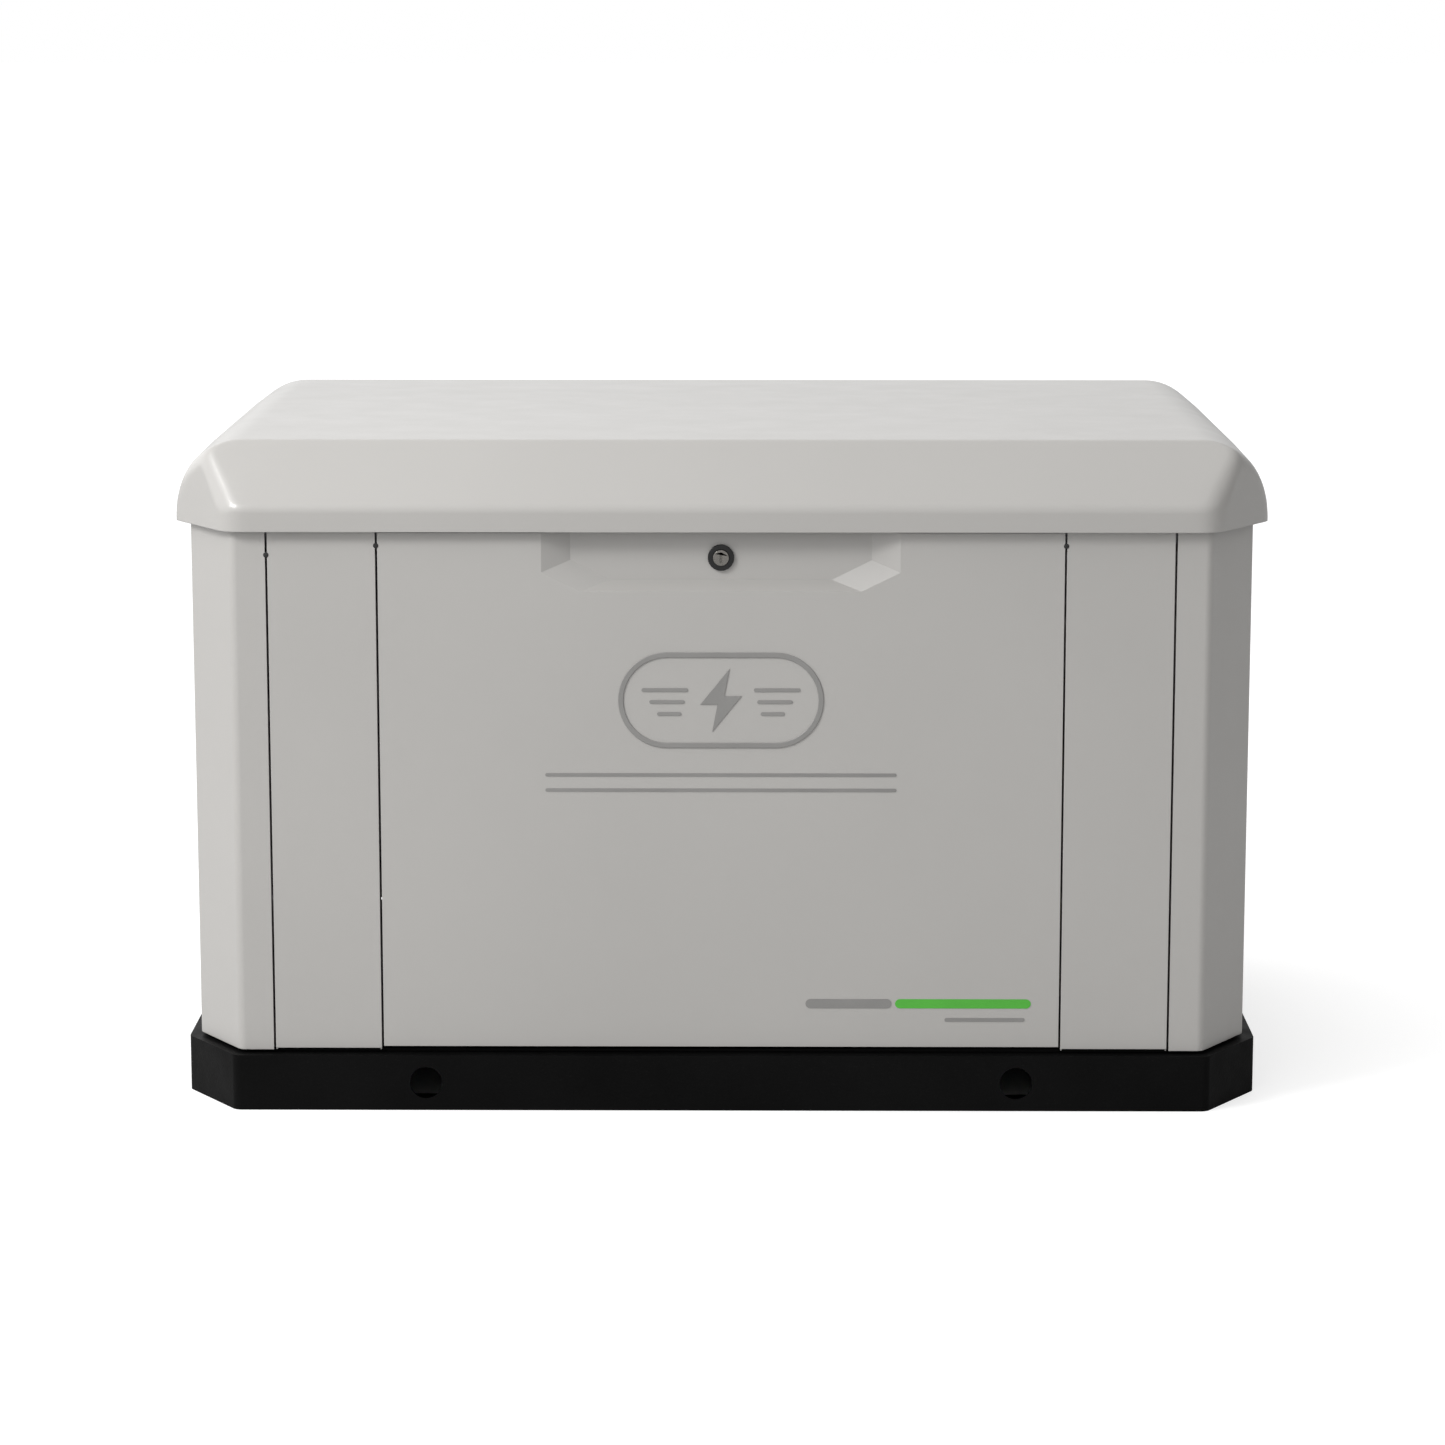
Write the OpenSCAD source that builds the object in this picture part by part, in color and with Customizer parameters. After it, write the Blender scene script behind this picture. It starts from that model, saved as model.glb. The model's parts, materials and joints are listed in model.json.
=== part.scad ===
// Home standby generator: a sheet-steel enclosure with a hinged roof on a black
// base frame, over an air-cooled V-twin engine that drives an alternator.
// Origin: centre of the footprint, on the ground. +X right, -Y front, +Z up.

/* [Enclosure] */
// Width of the base frame
overall_w = 1270; // [1250:10:1300]
// Overall depth, across the base and the roof
overall_d = 850; // [850:10:880]
// Overall height, to the top of the roof
overall_h = 787; // [785:1:800]
// Height of the black base frame
base_h = 66; // [62:1:70]
// Thickness of the base frame's plate
base_t = 4; // [3:0.5:5]
// Width that each corner facet of the base takes
corner_x = 65; // [60:1:70]
// Depth that each corner facet of the base takes
corner_y = 95; // [90:1:100]
// Step in from the base to the body at the ends
inset_x = 13.5; // [12:0.5:14]
// Step in from the base to the body at the front and back
inset_y = 12; // [11:0.5:13]
// Thickness of the body's sheet steel
sheet = 2; // [1.5:0.5:2.5]
// Outer radius of the folded corners
fold_r = 13; // [10:1:16]
// Gap between neighbouring panels
seam = 2.5; // [2:0.5:3]
// Distance from the middle to the seam between strip and corner post
post_seam_x = 524; // [515:1:530]
// Distance from the middle to the seam between door and strip
door_seam_x = 397; // [390:1:400]
// Distance from the middle to the seam between side panel and post
side_seam_y = 270; // [250:5:280]

/* [Roof] */
// Width of the roof, the widest part
roof_w = 1281; // [1270:1:1290]
// Height of the roof's lower edge
lip_z = 684; // [680:1:686]
// Height of the roof's upright lip
lip_h = 28; // [24:1:32]
// Depth of the sloping front and back faces
slope_run = 58; // [50:1:65]
// Radius of the roof's rounded ends
end_r = 100; // [80:1:102]
// Thickness of the roof's sheet
roof_t = 3; // [2.5:0.5:3]

/* [Handle recess and lock] */
// Width of the recess at the door's face
recess_w = 414; // [380:2:420]
// Lowest point of the recess
recess_z = 614; // [610:1:620]
// Depth of the recess
recess_d = 13; // [12:0.5:14]
// Height of the lock above the ground
lock_z = 652; // [651:1:653]
// Diameter of the lock's bezel
bezel_d = 30.5; // [28:0.5:32]

/* [Lifting and anchoring] */
// Diameter of the lifting-bar holes
lift_d = 38; // [34:1:40]
// Distance from the middle to each lifting-bar hole
lift_x = 346; // [330:2:360]
// Diameter of the anchor-bolt holes
anchor_d = 13; // [11:0.5:14]
// Spacing of the anchor bolts along the width
anchor_w = 1040; // [1000:10:1060]
// Spacing of the anchor bolts along the depth
anchor_l = 790; // [780:2:796]

/* [Engine and alternator] */
// Height of the crankshaft above the ground
crank_z = 265; // [262:1:268]
// Radius of the crankshaft's journals
shaft_r = 17.5; // [15:0.5:20]
// Angle of each cylinder from upright
bank_angle = 45; // [45:1:45]
// Outer radius of the alternator housing
alternator_r = 125; // [122:1:126]

/* [Hidden] */
$fn = 48;

paint = [0.78, 0.76, 0.73];
coat = [0.08, 0.08, 0.08];
foam = [0.25, 0.25, 0.27];
zinc = [0.72, 0.73, 0.75];
castings = [0.66, 0.67, 0.68];
rubber = [0.12, 0.12, 0.12];
plastic = [0.16, 0.16, 0.17];
iron = [0.35, 0.35, 0.36];

run_gap = 0.05;                        // radial play of a turning fit
fold_steps = 8;                        // flats that make up one folded corner
slide_gap = 0.3;                       // play of a button in its hole
body_x = overall_w / 2 - inset_x;      // half-width of the body
body_y = overall_d / 2 - inset_y;      // half-depth of the body
facet_x = corner_x - 8;                // the body's own corner facets
facet_y = corner_y - 9;
floor_t = 4;
floor_z = base_h + floor_t;            // top of the floor pan
wall_top = lip_z + 16;                 // the walls end behind the roof's lip
flange = 20;                           // depth of the panels' folded edges
flange_top = 660;                      // the folded edges end below the top frame
frame_z = 693;                         // underside of the top frame's ledge
frame_t = 3;
rail_drop = 28;
rail_front = -374;                     // front edge of the top frame
wall_in = body_x - sheet;              // inner face of the end walls

door_z0 = floor_z + 4.5;
door_z1 = lip_z - 2;
floor_y = -body_y + recess_d;          // face of the recess floor
hinge_y = body_y + 6;                  // axis of the roof's hinges
hinge_z = lip_z - 8;
hinge_x = 380;
barrel_r = 5;
hinge_pin_r = 3;
cam_y = -386;                          // front face of the lock's cam

rib_x = [-480, -150, 150, 480];        // cross channels of the base
louvre_y = [[-235, -25], [25, 235]];   // two columns of louvres in each end
louvre_z = [150:32:566];
louvre_h = 14;
louvre_tilt = 35;
vent_x = [120, 440];                   // louvres in the rear panel
vent_z = [330:30:570];
vent_h = 12;

rod_x = 586;                           // plane in which the prop rod swings
rod_r = 4;
rod_pivot = [40, 735];                 // the prop rod's pivot, in Y and Z
rod_l = 385;
rod_rest = [161.9, 690];               // where its tip stands when the roof is up
clip_y = -250;                         // the clip that holds it under the roof
pad_z = 760;                           // underside of the roof's foam pad
seal_top = 706;
strip_gap = 0.5;                       // cut between neighbouring strips

deck = 110;                            // crank axis to cylinder deck
barrel_top = 190;
head_top = 235;
cover_top = 272;
bank_x = [35, 75];                     // the two cylinders are staggered
case_x0 = -60;
case_x1 = 160;
case_half = 130;
case_wall = 12;
bearing_r = 36;
rotor_r = 70;
stator_r = 107;
wall_x = 262;                          // divider between engine and muffler
port_z = crank_z + 104;                // height of the exhaust ports
pipe_y = 235;
pipe_r = 18;
inlet_x = -440;
inlet_z = 190;
gland_x = -300;
gland_z = 150;
box_z = 600;                           // top of the control box
button_r = 9;
plug_r = 9.2;
barrel_hole = 12.5;
toggle = [-568, -270, 634];            // centre of the breaker's toggle
dipstick_at = [-45, -150];
mixer_x = 55;
muffler_x = 400;
muffler_y = 200;                       // half-length of the muffler
muffler_z = 340;
muffler_r = 80;
tail_y = 90;                           // the tailpipe's way down and out to the right
tail_z = 150;
tail_r = 22;
starter_at = [-165, 200];              // the starter's axis, in Y and Z
terminal_x = [-340, -140];
button_y = [-230, -190, -150];
// Routes of the hose and the two battery leads, from end to end
fuel_route = [[-440, 300, 311], [-440, 300, 325], [-440, 300, 350], [-425, 270, 420],
    [-340, 200, 465], [-220, 120, 480], [-120, 50, 492], [-50, 0, 500], [-15, 0, 500], [19, 0, 500]];
red_route = [[-140, -260, 297], [-140, -260, 308], [-140, -258, 322], [-110, -245, 338],
    [-60, -215, 322], [-12, -175, 295], [0, -165, 272], [0, -165, 248]];
black_route = [[-340, -260, 297], [-340, -260, 308], [-340, -258, 322], [-325, -215, 332],
    [-300, -172, 305], [-276, -158, 240], [-270, -158, 180], [-270, -156, 142], [-270, -148, 125],
    [-270, -139, 120], [-270, -132, 120]];

/* ---- shared shapes ---- */

module block(low, high) {
    translate(low) cube(high - low);
}

module rod_along_x(x0, x1, y, z, r) {
    translate([x0, y, z]) rotate([0, 90, 0]) cylinder(h = x1 - x0, r = r);
}

module rod_along_y(y0, y1, x, z, r) {
    translate([x, y0, z]) rotate([-90, 0, 0]) cylinder(h = y1 - y0, r = r);
}

module both_ends() {
    children();
    mirror([1, 0, 0]) children();
}

module front_and_back() {
    children();
    mirror([0, 1, 0]) children();
}

// Corners of a rectangle of half-size x, y with its corners cut off, anticlockwise
function facet_points(x, y, cut_x, cut_y) = [
    [x, y - cut_y], [x - cut_x, y], [cut_x - x, y], [-x, y - cut_y],
    [-x, cut_y - y], [cut_x - x, -y], [x - cut_x, -y], [x, cut_y - y]];

function outward(a, b) = let (d = b - a) [d.y, -d.x] / norm(d);

function fold_centre(a, b, c, r) =
    let (n1 = outward(a, b), n2 = outward(b, c)) b - (n1 + n2) * r / (1 + n1 * n2);

function bearing(v) = atan2(v.y, v.x);

// A folded outline of corner radius r, drawn back inside itself by depth
module folded_outline(points, r, depth = 0) {
    n = len(points);
    polygon([for (i = [0:n - 1])
        let (a = points[(i + n - 1) % n], b = points[i], c = points[(i + 1) % n],
             start = bearing(outward(a, b)), turn = (bearing(outward(b, c)) - start + 360) % 360)
        for (k = [0:fold_steps])
            let (angle = start + turn * k / fold_steps)
            fold_centre(a, b, c, r) + (r - depth) * [cos(angle), sin(angle)]]);
}

base_points = facet_points(overall_w / 2, overall_d / 2, corner_x, corner_y);
body_points = facet_points(body_x, body_y, facet_x, facet_y);
lid_points = facet_points(roof_w / 2, overall_d / 2, corner_x + (roof_w - overall_w) / 2, corner_y + 15);

// Part of the body's sheet wall, inside one rectangle of the plan
module wall_piece(x0, x1, y0, y1, z0, z1) {
    translate([0, 0, z0]) linear_extrude(z1 - z0) intersection() {
        difference() {
            folded_outline(body_points, fold_r);
            folded_outline(body_points, fold_r, sheet);
        }
        translate([x0, y0]) square([x1 - x0, y1 - y0]);
    }
}

// Catmull-Rom point at parameter u between b and c
function spline(a, b, c, d, u) = 0.5 * (2 * b + (c - a) * u
    + (2 * a - 5 * b + 4 * c - d) * u * u + (3 * b - a - 3 * c + d) * u * u * u);

function smooth_route(p, steps) = let (n = len(p)) concat(
    [for (i = [0:n - 2]) for (s = [0:steps - 1])
        spline(p[max(i - 1, 0)], p[i], p[i + 1], p[min(i + 2, n - 1)], s / steps)],
    [p[n - 1]]);

function unit(v) = v / norm(v);

// A tube of radius r along the route p, for hoses and leads
module hose(p, r, sides = 10, steps = 5) {
    route = smooth_route(p, steps);
    n = len(route);
    rings = [for (i = [0:n - 1])
        let (t = unit(route[min(i + 1, n - 1)] - route[max(i - 1, 0)]),
             u = unit(cross(t, [0.31, 0.95, 0.07])), v = cross(t, u))
        for (k = [0:sides - 1])
            route[i] + r * (cos(360 * k / sides) * u + sin(360 * k / sides) * v)];
    walls = [for (i = [0:n - 2]) for (k = [0:sides - 1])
        let (a = i * sides + k, b = i * sides + (k + 1) % sides)
        [a, a + sides, b + sides, b]];
    start = [for (k = [0:sides - 1]) k];
    end = [for (k = [0:sides - 1]) n * sides - 1 - k];
    polyhedron(points = rings, faces = concat([start, end], walls));
}

/* ---- enclosure ---- */

// Flat flange ring inside the base outline, width wide
module base_flange(width) {
    difference() {
        folded_outline(base_points, fold_r);
        polygon(facet_points(overall_w / 2 - width, overall_d / 2 - width,
            corner_x - 15, corner_y - 15));
    }
}

module base_frame() color(coat) difference() {
    union() {
        linear_extrude(base_h) difference() {
            folded_outline(base_points, fold_r);
            folded_outline(base_points, fold_r, base_t);
        }
        linear_extrude(base_t) base_flange(60);
        translate([0, 0, base_h - base_t]) linear_extrude(base_t) base_flange(40);
        for (x = rib_x)
            block([x - 20, 6 - overall_d / 2, 0], [x + 20, overall_d / 2 - 6, base_h]);
    }
    for (x = [-lift_x, lift_x])
        rod_along_y(-overall_d, overall_d, x, base_h / 2, lift_d / 2);
    for (x = [-anchor_w / 2, anchor_w / 2], y = [-anchor_l / 2, anchor_l / 2])
        translate([x, y, -1]) cylinder(h = base_t + 2, r = anchor_d / 2);
}

module floor_pan() color(coat) {
    translate([0, 0, base_h]) linear_extrude(floor_t) folded_outline(body_points, fold_r, 8);
    both_ends() block([300, -body_y + 10, floor_z], [340, -body_y + 34, door_z0]);
}

// The front right corner post; the other three mirror it
module corner_post() {
    x0 = post_seam_x + seam / 2;
    y1 = -side_seam_y - seam / 2;
    wall_piece(x0, body_x, -body_y, y1, floor_z, wall_top);
    block([x0, -body_y + 1, floor_z], [x0 + sheet, -body_y + flange, flange_top]);
    block([body_x - flange, y1 - sheet, floor_z], [body_x - 1, y1, flange_top]);
    block([x0 + 1, -body_y + 1, floor_z], [body_x - facet_x, -body_y + flange, floor_z + sheet]);
}

module post_front_right() color(paint) corner_post();

module post_front_left() color(paint) mirror([1, 0, 0]) corner_post();

module posts_rear() color(paint) both_ends() mirror([0, 1, 0]) corner_post();

module front_strips() color(paint) both_ends() {
    x0 = door_seam_x + seam / 2;
    x1 = post_seam_x - seam / 2;
    wall_piece(x0, x1, -body_y, -body_y + sheet, floor_z + 2, wall_top);
    for (x = [x0, x1 - sheet])
        block([x, -body_y + 1, floor_z], [x + sheet, -body_y + flange, flange_top]);
}

// One row of louvre blades in an end wall, from y0 to y1
module louvre_slot(y0, y1, z) {
    block([wall_in - 5, y0, z], [body_x + 5, y1, z + louvre_h]);
}

module louvre_blade(y0, y1, z) {
    translate([body_x - 1, y0 + 1, z + louvre_h]) rotate([0, -louvre_tilt, 0])
        translate([0, 0, -17]) cube([1.5, y1 - y0 - 2, 17]);
}

module side_panel() {
    y1 = side_seam_y - seam / 2;
    difference() {
        union() {
            wall_piece(wall_in, body_x, -y1, y1, floor_z + 2, wall_top);
            front_and_back()
                block([body_x - flange, y1 - sheet, floor_z], [body_x - 1, y1, flange_top]);
        }
        for (s = louvre_y, z = louvre_z) louvre_slot(s[0], s[1], z);
    }
    for (s = louvre_y, z = louvre_z) louvre_blade(s[0], s[1], z);
}

module side_panel_right() color(paint) side_panel();

module side_panel_left() color(paint) mirror([1, 0, 0]) side_panel();

module rear_panel() color(paint) {
    x1 = post_seam_x - seam / 2;
    difference() {
        union() {
            wall_piece(-x1, x1, body_y - sheet, body_y, floor_z + 2, wall_top);
            both_ends()
                block([x1 - sheet, body_y - flange, floor_z], [x1, body_y - 1, flange_top]);
        }
        for (z = vent_z) block([vent_x[0], body_y - 6, z], [vent_x[1], body_y + 6, z + vent_h]);
        rod_along_y(body_y - 6, body_y + 6, inlet_x, inlet_z, 16);
        rod_along_y(body_y - 6, body_y + 6, gland_x, gland_z, 17);
    }
    for (z = vent_z) translate([vent_x[0] + 1, body_y - 1, z + vent_h]) rotate([louvre_tilt, 0, 0])
        translate([0, -1, -14]) cube([vent_x[1] - vent_x[0] - 2, 1.5, 14]);
}

// Corners of the top frame's opening, front right first, and of the ring of foam and
// rubber that closes on it, clear of the walls as the roof swings
opening_points = [[590, -350], [597, -343], [597, 300], [560, 386],
    [-560, 386], [-597, 300], [-597, -343], [-590, -350]];
ring_points = [[584, rail_front], [616.5, -325], [616.5, 320], [563, 400],
    [-563, 400], [-616.5, 320], [-616.5, -325], [-584, rail_front]];

module top_frame() color(zinc) {
    translate([0, 0, frame_z]) linear_extrude(frame_t) difference() {
        intersection() {
            folded_outline(body_points, fold_r, sheet);
            translate([-body_x, rail_front]) square([2 * body_x, body_y - rail_front]);
        }
        polygon(opening_points);
    }
    block([-560, rail_front, frame_z - rail_drop], [560, rail_front + frame_t, frame_z + 1]);
    block([-540, 386, frame_z - rail_drop], [540, 386 + frame_t, frame_z + 1]);
    both_ends() block([597, -262, frame_z - rail_drop], [597 + frame_t, 262, frame_z + 1]);
}

module divider_wall() color(zinc) difference() {
    block([wall_x, -345, floor_z], [wall_x + sheet, 384, flange_top]);
    rod_along_x(wall_x - 5, wall_x + 10, 0, crank_z, 95);
    for (y = [-pipe_y, pipe_y]) rod_along_x(wall_x - 5, wall_x + 10, y, port_z, pipe_r + 6);
}

// Outline of the handle recess seen from the front, down from the door's top edge
module recess_outline(half, side_z, half_low, low_z) {
    polygon([[half, door_z1 + 10], [-half, door_z1 + 10], [-half, side_z], [-half_low, low_z],
        [half_low, low_z], [half, side_z]]);
}

// A thin slice of the recess standing at depth y
module recess_slice(y, half, side_z, half_low, low_z) {
    translate([0, y, 0]) rotate([90, 0, 0]) linear_extrude(0.02)
        recess_outline(half, side_z, half_low, low_z);
}

// The recess's tapering hollow; wider adds the sheet's thickness round it
module recess_hollow(wider, y_face, y_floor) {
    half = recess_w / 2 + wider;
    hull() {
        recess_slice(y_face, half, recess_z + 22 - wider / 2, half - 45, recess_z - wider);
        recess_slice(y_floor, half - 33, recess_z + 35 - wider / 2,
            half - 79, recess_z + 12 - wider);
    }
}

module front_panel() color(paint) difference() {
    x1 = door_seam_x - seam / 2;
    union() {
        block([-x1, -body_y, door_z0], [x1, -body_y + sheet, door_z1]);
        both_ends() block([x1 - sheet, -body_y, door_z0], [x1, -body_y + flange, door_z1]);
        block([-x1, -body_y, door_z0], [x1, -body_y + flange, door_z0 + sheet]);
        both_ends()
            block([recess_w / 2 + 10, -body_y, door_z1 - sheet], [x1, -body_y + flange, door_z1]);
        difference() {
            recess_hollow(sheet, -body_y + 0.1, floor_y + sheet);
            translate([-overall_w, -body_y - 10, door_z1]) cube([2 * overall_w, 40, 50]);
        }
    }
    recess_hollow(0, -body_y - 0.01, floor_y);
    rod_along_y(-body_y - 5, floor_y + 5, 0, lock_z, barrel_hole);
}

module panel_liner() color(foam)
    block([-380, -body_y + sheet, 95], [380, -body_y + flange, 596]);

module badge() color([0.5, 0.5, 0.5]) translate([0, -body_y, 487]) rotate([90, 0, 0])
    linear_extrude(1.5) {
        square([126, 112], center = true);
        for (x = [-63, 63]) translate([x, 0]) circle(r = 56);
    }

module lock_housing() color(plastic) difference() {
    union() {
        rod_along_y(floor_y - 4, floor_y, 0, lock_z, bezel_d / 2);
        rod_along_y(floor_y - 1, cam_y - 0.5, 0, lock_z, barrel_hole - 0.1);
        rod_along_y(floor_y + sheet, floor_y + sheet + 4, 0, lock_z, 17);
    }
    rod_along_y(floor_y - 10, cam_y + 5, 0, lock_z, plug_r + run_gap);
}

module lock_plug() color(zinc) difference() {
    rod_along_y(floor_y - 5.5, cam_y, 0, lock_z, plug_r);
    block([-1, floor_y - 6, lock_z - 6], [1, floor_y - 3, lock_z + 6]);
}

module lock_cam() color(zinc)
    block([-9, cam_y, lock_z - 8], [38, cam_y + 3, lock_z + 8]);

/* ---- roof ---- */

// The roof's outer shape, drawn back inside itself by depth
module roof_shape(depth) {
    y1 = overall_d / 2 - depth;
    top = overall_h - depth;
    low = lip_z - (depth > 0 ? 5 : 0);
    knee = lip_z + lip_h - depth / 2;
    intersection() {
        translate([0, 0, low]) linear_extrude(200) folded_outline(lid_points, fold_r + 12, depth);
        rotate([90, 0, 0]) linear_extrude(2 * overall_d, center = true) {
            translate([depth - roof_w / 2, low])
                square([roof_w - 2 * depth, overall_h - end_r - low]);
            translate([end_r - roof_w / 2, low]) square([roof_w - 2 * end_r, top - low]);
            for (x = [end_r - roof_w / 2, roof_w / 2 - end_r])
                translate([x, overall_h - end_r]) circle(r = end_r - depth);
        }
        rotate([90, 0, 90]) linear_extrude(2 * overall_w, center = true)
            polygon([[-y1, low], [y1, low], [y1, knee], [y1 - slope_run, top - 2], [200, top],
                [-200, top], [slope_run - y1, top - 2], [-y1, knee]]);
    }
}

module roof_lid() color(paint) difference() {
    roof_shape(0);
    roof_shape(roof_t);
}

// Eight straight strips round the top frame, mitred at the corners
module ring_strips(z0, z1) {
    for (i = [0:7]) {
        j = (i + 1) % 8;
        translate([0, 0, z0]) linear_extrude(z1 - z0) offset(delta = -strip_gap / 2)
            polygon([opening_points[i], ring_points[i], ring_points[j], opening_points[j]]);
    }
}

// A pad against the roof, with pockets for the prop rod's fittings, over edge strips
module lid_liner() color(foam) {
    difference() {
        intersection() {
            roof_shape(roof_t);
            block([-overall_w, -overall_d, pad_z], [overall_w, overall_d, overall_h]);
        }
        for (y = [rod_pivot.x, clip_y])
            block([575, y - 12, pad_z - 1], [596.5, y + 12, overall_h]);
    }
    intersection() {
        roof_shape(roof_t);
        ring_strips(seal_top, pad_z - strip_gap);
    }
}

module lid_seal() color(rubber) ring_strips(frame_z + frame_t + 0.3, seal_top - strip_gap);

module lid_catch() color(zinc) {
    back = roof_t - overall_d / 2;
    block([-20, back, 688], [20, back + 3, 708]);
    block([-20, back, 700], [20, cam_y - 3, 703]);
    block([-20, cam_y - 6, lock_z + 19], [20, cam_y - 3, 703]);
}

module hinge_barrels(spans, bore) {
    for (side = [-1, 1], s = spans) difference() {
        rod_along_x(side * hinge_x + s[0], side * hinge_x + s[1], hinge_y, hinge_z, barrel_r);
        rod_along_x(side * hinge_x + s[0] - 1, side * hinge_x + s[1] + 1, hinge_y, hinge_z, bore);
    }
}

module hinge_fixed_leaves() color(zinc) {
    hinge_barrels([[-60, -20.5], [20.5, 60]], hinge_pin_r + run_gap);
    for (side = [-1, 1], s = [[-60, -20.5], [20.5, 60]])
        block([side * hinge_x + s[0], body_y, 640], [side * hinge_x + s[1], body_y + 2, hinge_z + 2]);
    for (side = [-1, 1])
        block([side * hinge_x - 60, body_y, 640], [side * hinge_x + 60, body_y + 2, 666]);
}

module hinge_lid_leaves() color(zinc) {
    hinge_barrels([[-20, 20]], hinge_pin_r + run_gap);
    leaf = overall_d / 2 - roof_t;
    for (side = [-1, 1]) {
        block([side * hinge_x - 20, leaf - 1.5, hinge_z + 3.4], [side * hinge_x + 20, leaf, 690]);
        block([side * hinge_x - 60, leaf - 1.5, 686], [side * hinge_x + 60, leaf, 710]);
    }
}

module hinge_pins() color(zinc) for (side = [-1, 1]) {
    rod_along_x(side * hinge_x - 62, side * hinge_x + 60, hinge_y, hinge_z, hinge_pin_r);
    rod_along_x(side * hinge_x - 63, side * hinge_x - 60.3, hinge_y, hinge_z, 4.5);
}

module prop_rod() color(zinc) {
    difference() {
        union() {
            rod_along_x(rod_x - 4.5, rod_x + 4.5, rod_pivot.x, rod_pivot.y, 9);
            rod_along_y(rod_pivot.x - rod_l, rod_pivot.x - 6, rod_x, rod_pivot.y, rod_r);
        }
        rod_along_x(rod_x - 9, rod_x + 9, rod_pivot.x, rod_pivot.y, rod_r + run_gap);
    }
    translate([rod_x, rod_pivot.x - rod_l + rod_r, rod_pivot.y]) sphere(r = rod_r + 1);
}

module prop_bracket() color(zinc) intersection() {
    roof_shape(roof_t);
    union() {
        for (x = [577, 591.5])
            block([x, rod_pivot.x - 9, rod_pivot.y - 9], [x + 3.5, rod_pivot.x + 9, overall_h]);
        rod_along_x(577, 595, rod_pivot.x, rod_pivot.y, rod_r);
        for (x = [579.6, 590.4]) block([x, clip_y - 6, 728], [x + 2, clip_y + 6, overall_h]);
    }
}

module prop_cradle() color(zinc) {
    y = rod_rest.x;
    z = rod_rest.y;
    block([578, y - 16, z - 9], [597, y + 13, z - 6]);
    block([578, y - 16, z - 9], [580, y + 13, z + 7]);
    block([578, y + 10, z - 9], [597, y + 13, z + 7]);
}

/* ---- engine ---- */

module engine_rails() color(iron) front_and_back() difference() {
    block([-385, 90, 105], [160, 130, 135]);
    block([-390, 80, 109], [170, 126, 131]);
}

module vibration_mounts() color(rubber) for (x = [-330, 110], y = [-110, 110])
    translate([x, y, floor_z]) {
        cylinder(h = 8, r = 30);
        cylinder(h = 105 - floor_z, r = 24);
    }

// Places its children on a cylinder bank, with Z along the cylinder
module on_bank(i) translate([bank_x[i], 0, crank_z])
    rotate([i == 0 ? bank_angle : -bank_angle, 0, 0]) children();

module case_outline(inset) {
    half = case_half - inset;
    top = (deck - inset) * sqrt(2);
    polygon([[-half, -half], [half, -half], [half, top - half], [0, top], [-half, top - half]]);
}

module case_block(inset) translate([case_x0 + inset, 0, crank_z]) rotate([90, 0, 90])
    linear_extrude(case_x1 - case_x0 - 2 * inset) case_outline(inset);

module crankcase() color(castings) difference() {
    case_block(0);
    case_block(case_wall);
    rod_along_x(case_x0 - 1, case_x1 + 1, 0, crank_z, bearing_r);
    for (i = [0, 1]) on_bank(i) translate([0, 0, deck - 20]) cylinder(h = 30, r = 40);
}

module main_bearings() color(zinc) for (x = [case_x0, case_x1 - case_wall]) difference() {
    rod_along_x(x, x + case_wall, 0, crank_z, bearing_r - run_gap);
    rod_along_x(x - 1, x + case_wall + 1, 0, crank_z, shaft_r + run_gap);
}

module crankshaft() color(iron) {
    throw = 32;
    rod_along_x(-75, 30, 0, crank_z, shaft_r);
    rod_along_x(100, 205, 0, crank_z, shaft_r);
    rod_along_x(30, 100, 0, crank_z + throw, 18);
    for (x = [16, 100]) rod_along_x(x, x + 14, 0, crank_z, 55);
}

module cylinders() color(castings) for (i = [0, 1]) on_bank(i) difference() {
    union() {
        translate([0, 0, deck]) cylinder(h = barrel_top - deck, r = 49);
        for (z = [deck + 10:10:barrel_top - 8]) translate([0, 0, z]) cylinder(h = 3, r = 62);
    }
    translate([0, 0, deck - 1]) cylinder(h = barrel_top - deck + 2, r = 40);
}

module rounded_slab(x, y, h, r) linear_extrude(h) {
    square([x - 2 * r, y], center = true);
    square([x, y - 2 * r], center = true);
    for (i = [-1, 1], j = [-1, 1]) translate([i * (x / 2 - r), j * (y / 2 - r)]) circle(r = r);
}

module head_shape() {
    translate([0, 0, barrel_top]) rounded_slab(100, 100, head_top - barrel_top, 12);
    for (z = [barrel_top + 6:9:head_top - 10]) translate([0, 0, z]) rounded_slab(124, 124, 3, 14);
    translate([0, 0, barrel_top + 13]) linear_extrude(26) square([44, 130], center = true);
}

// The space that a head and its ports fill, cut from the pipes that meet them
module head_core() translate([0, 0, barrel_top - 40])
    linear_extrude(120) square([150, 130.02], center = true);

module cylinder_heads() color(castings) for (i = [0, 1]) on_bank(i) head_shape();

module valve_covers() color(coat) for (i = [0, 1]) on_bank(i) {
    translate([0, 0, head_top]) rounded_slab(112, 104, 5, 12);
    translate([0, 0, head_top + 5]) rounded_slab(98, 90, cover_top - head_top - 5, 16);
}

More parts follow.
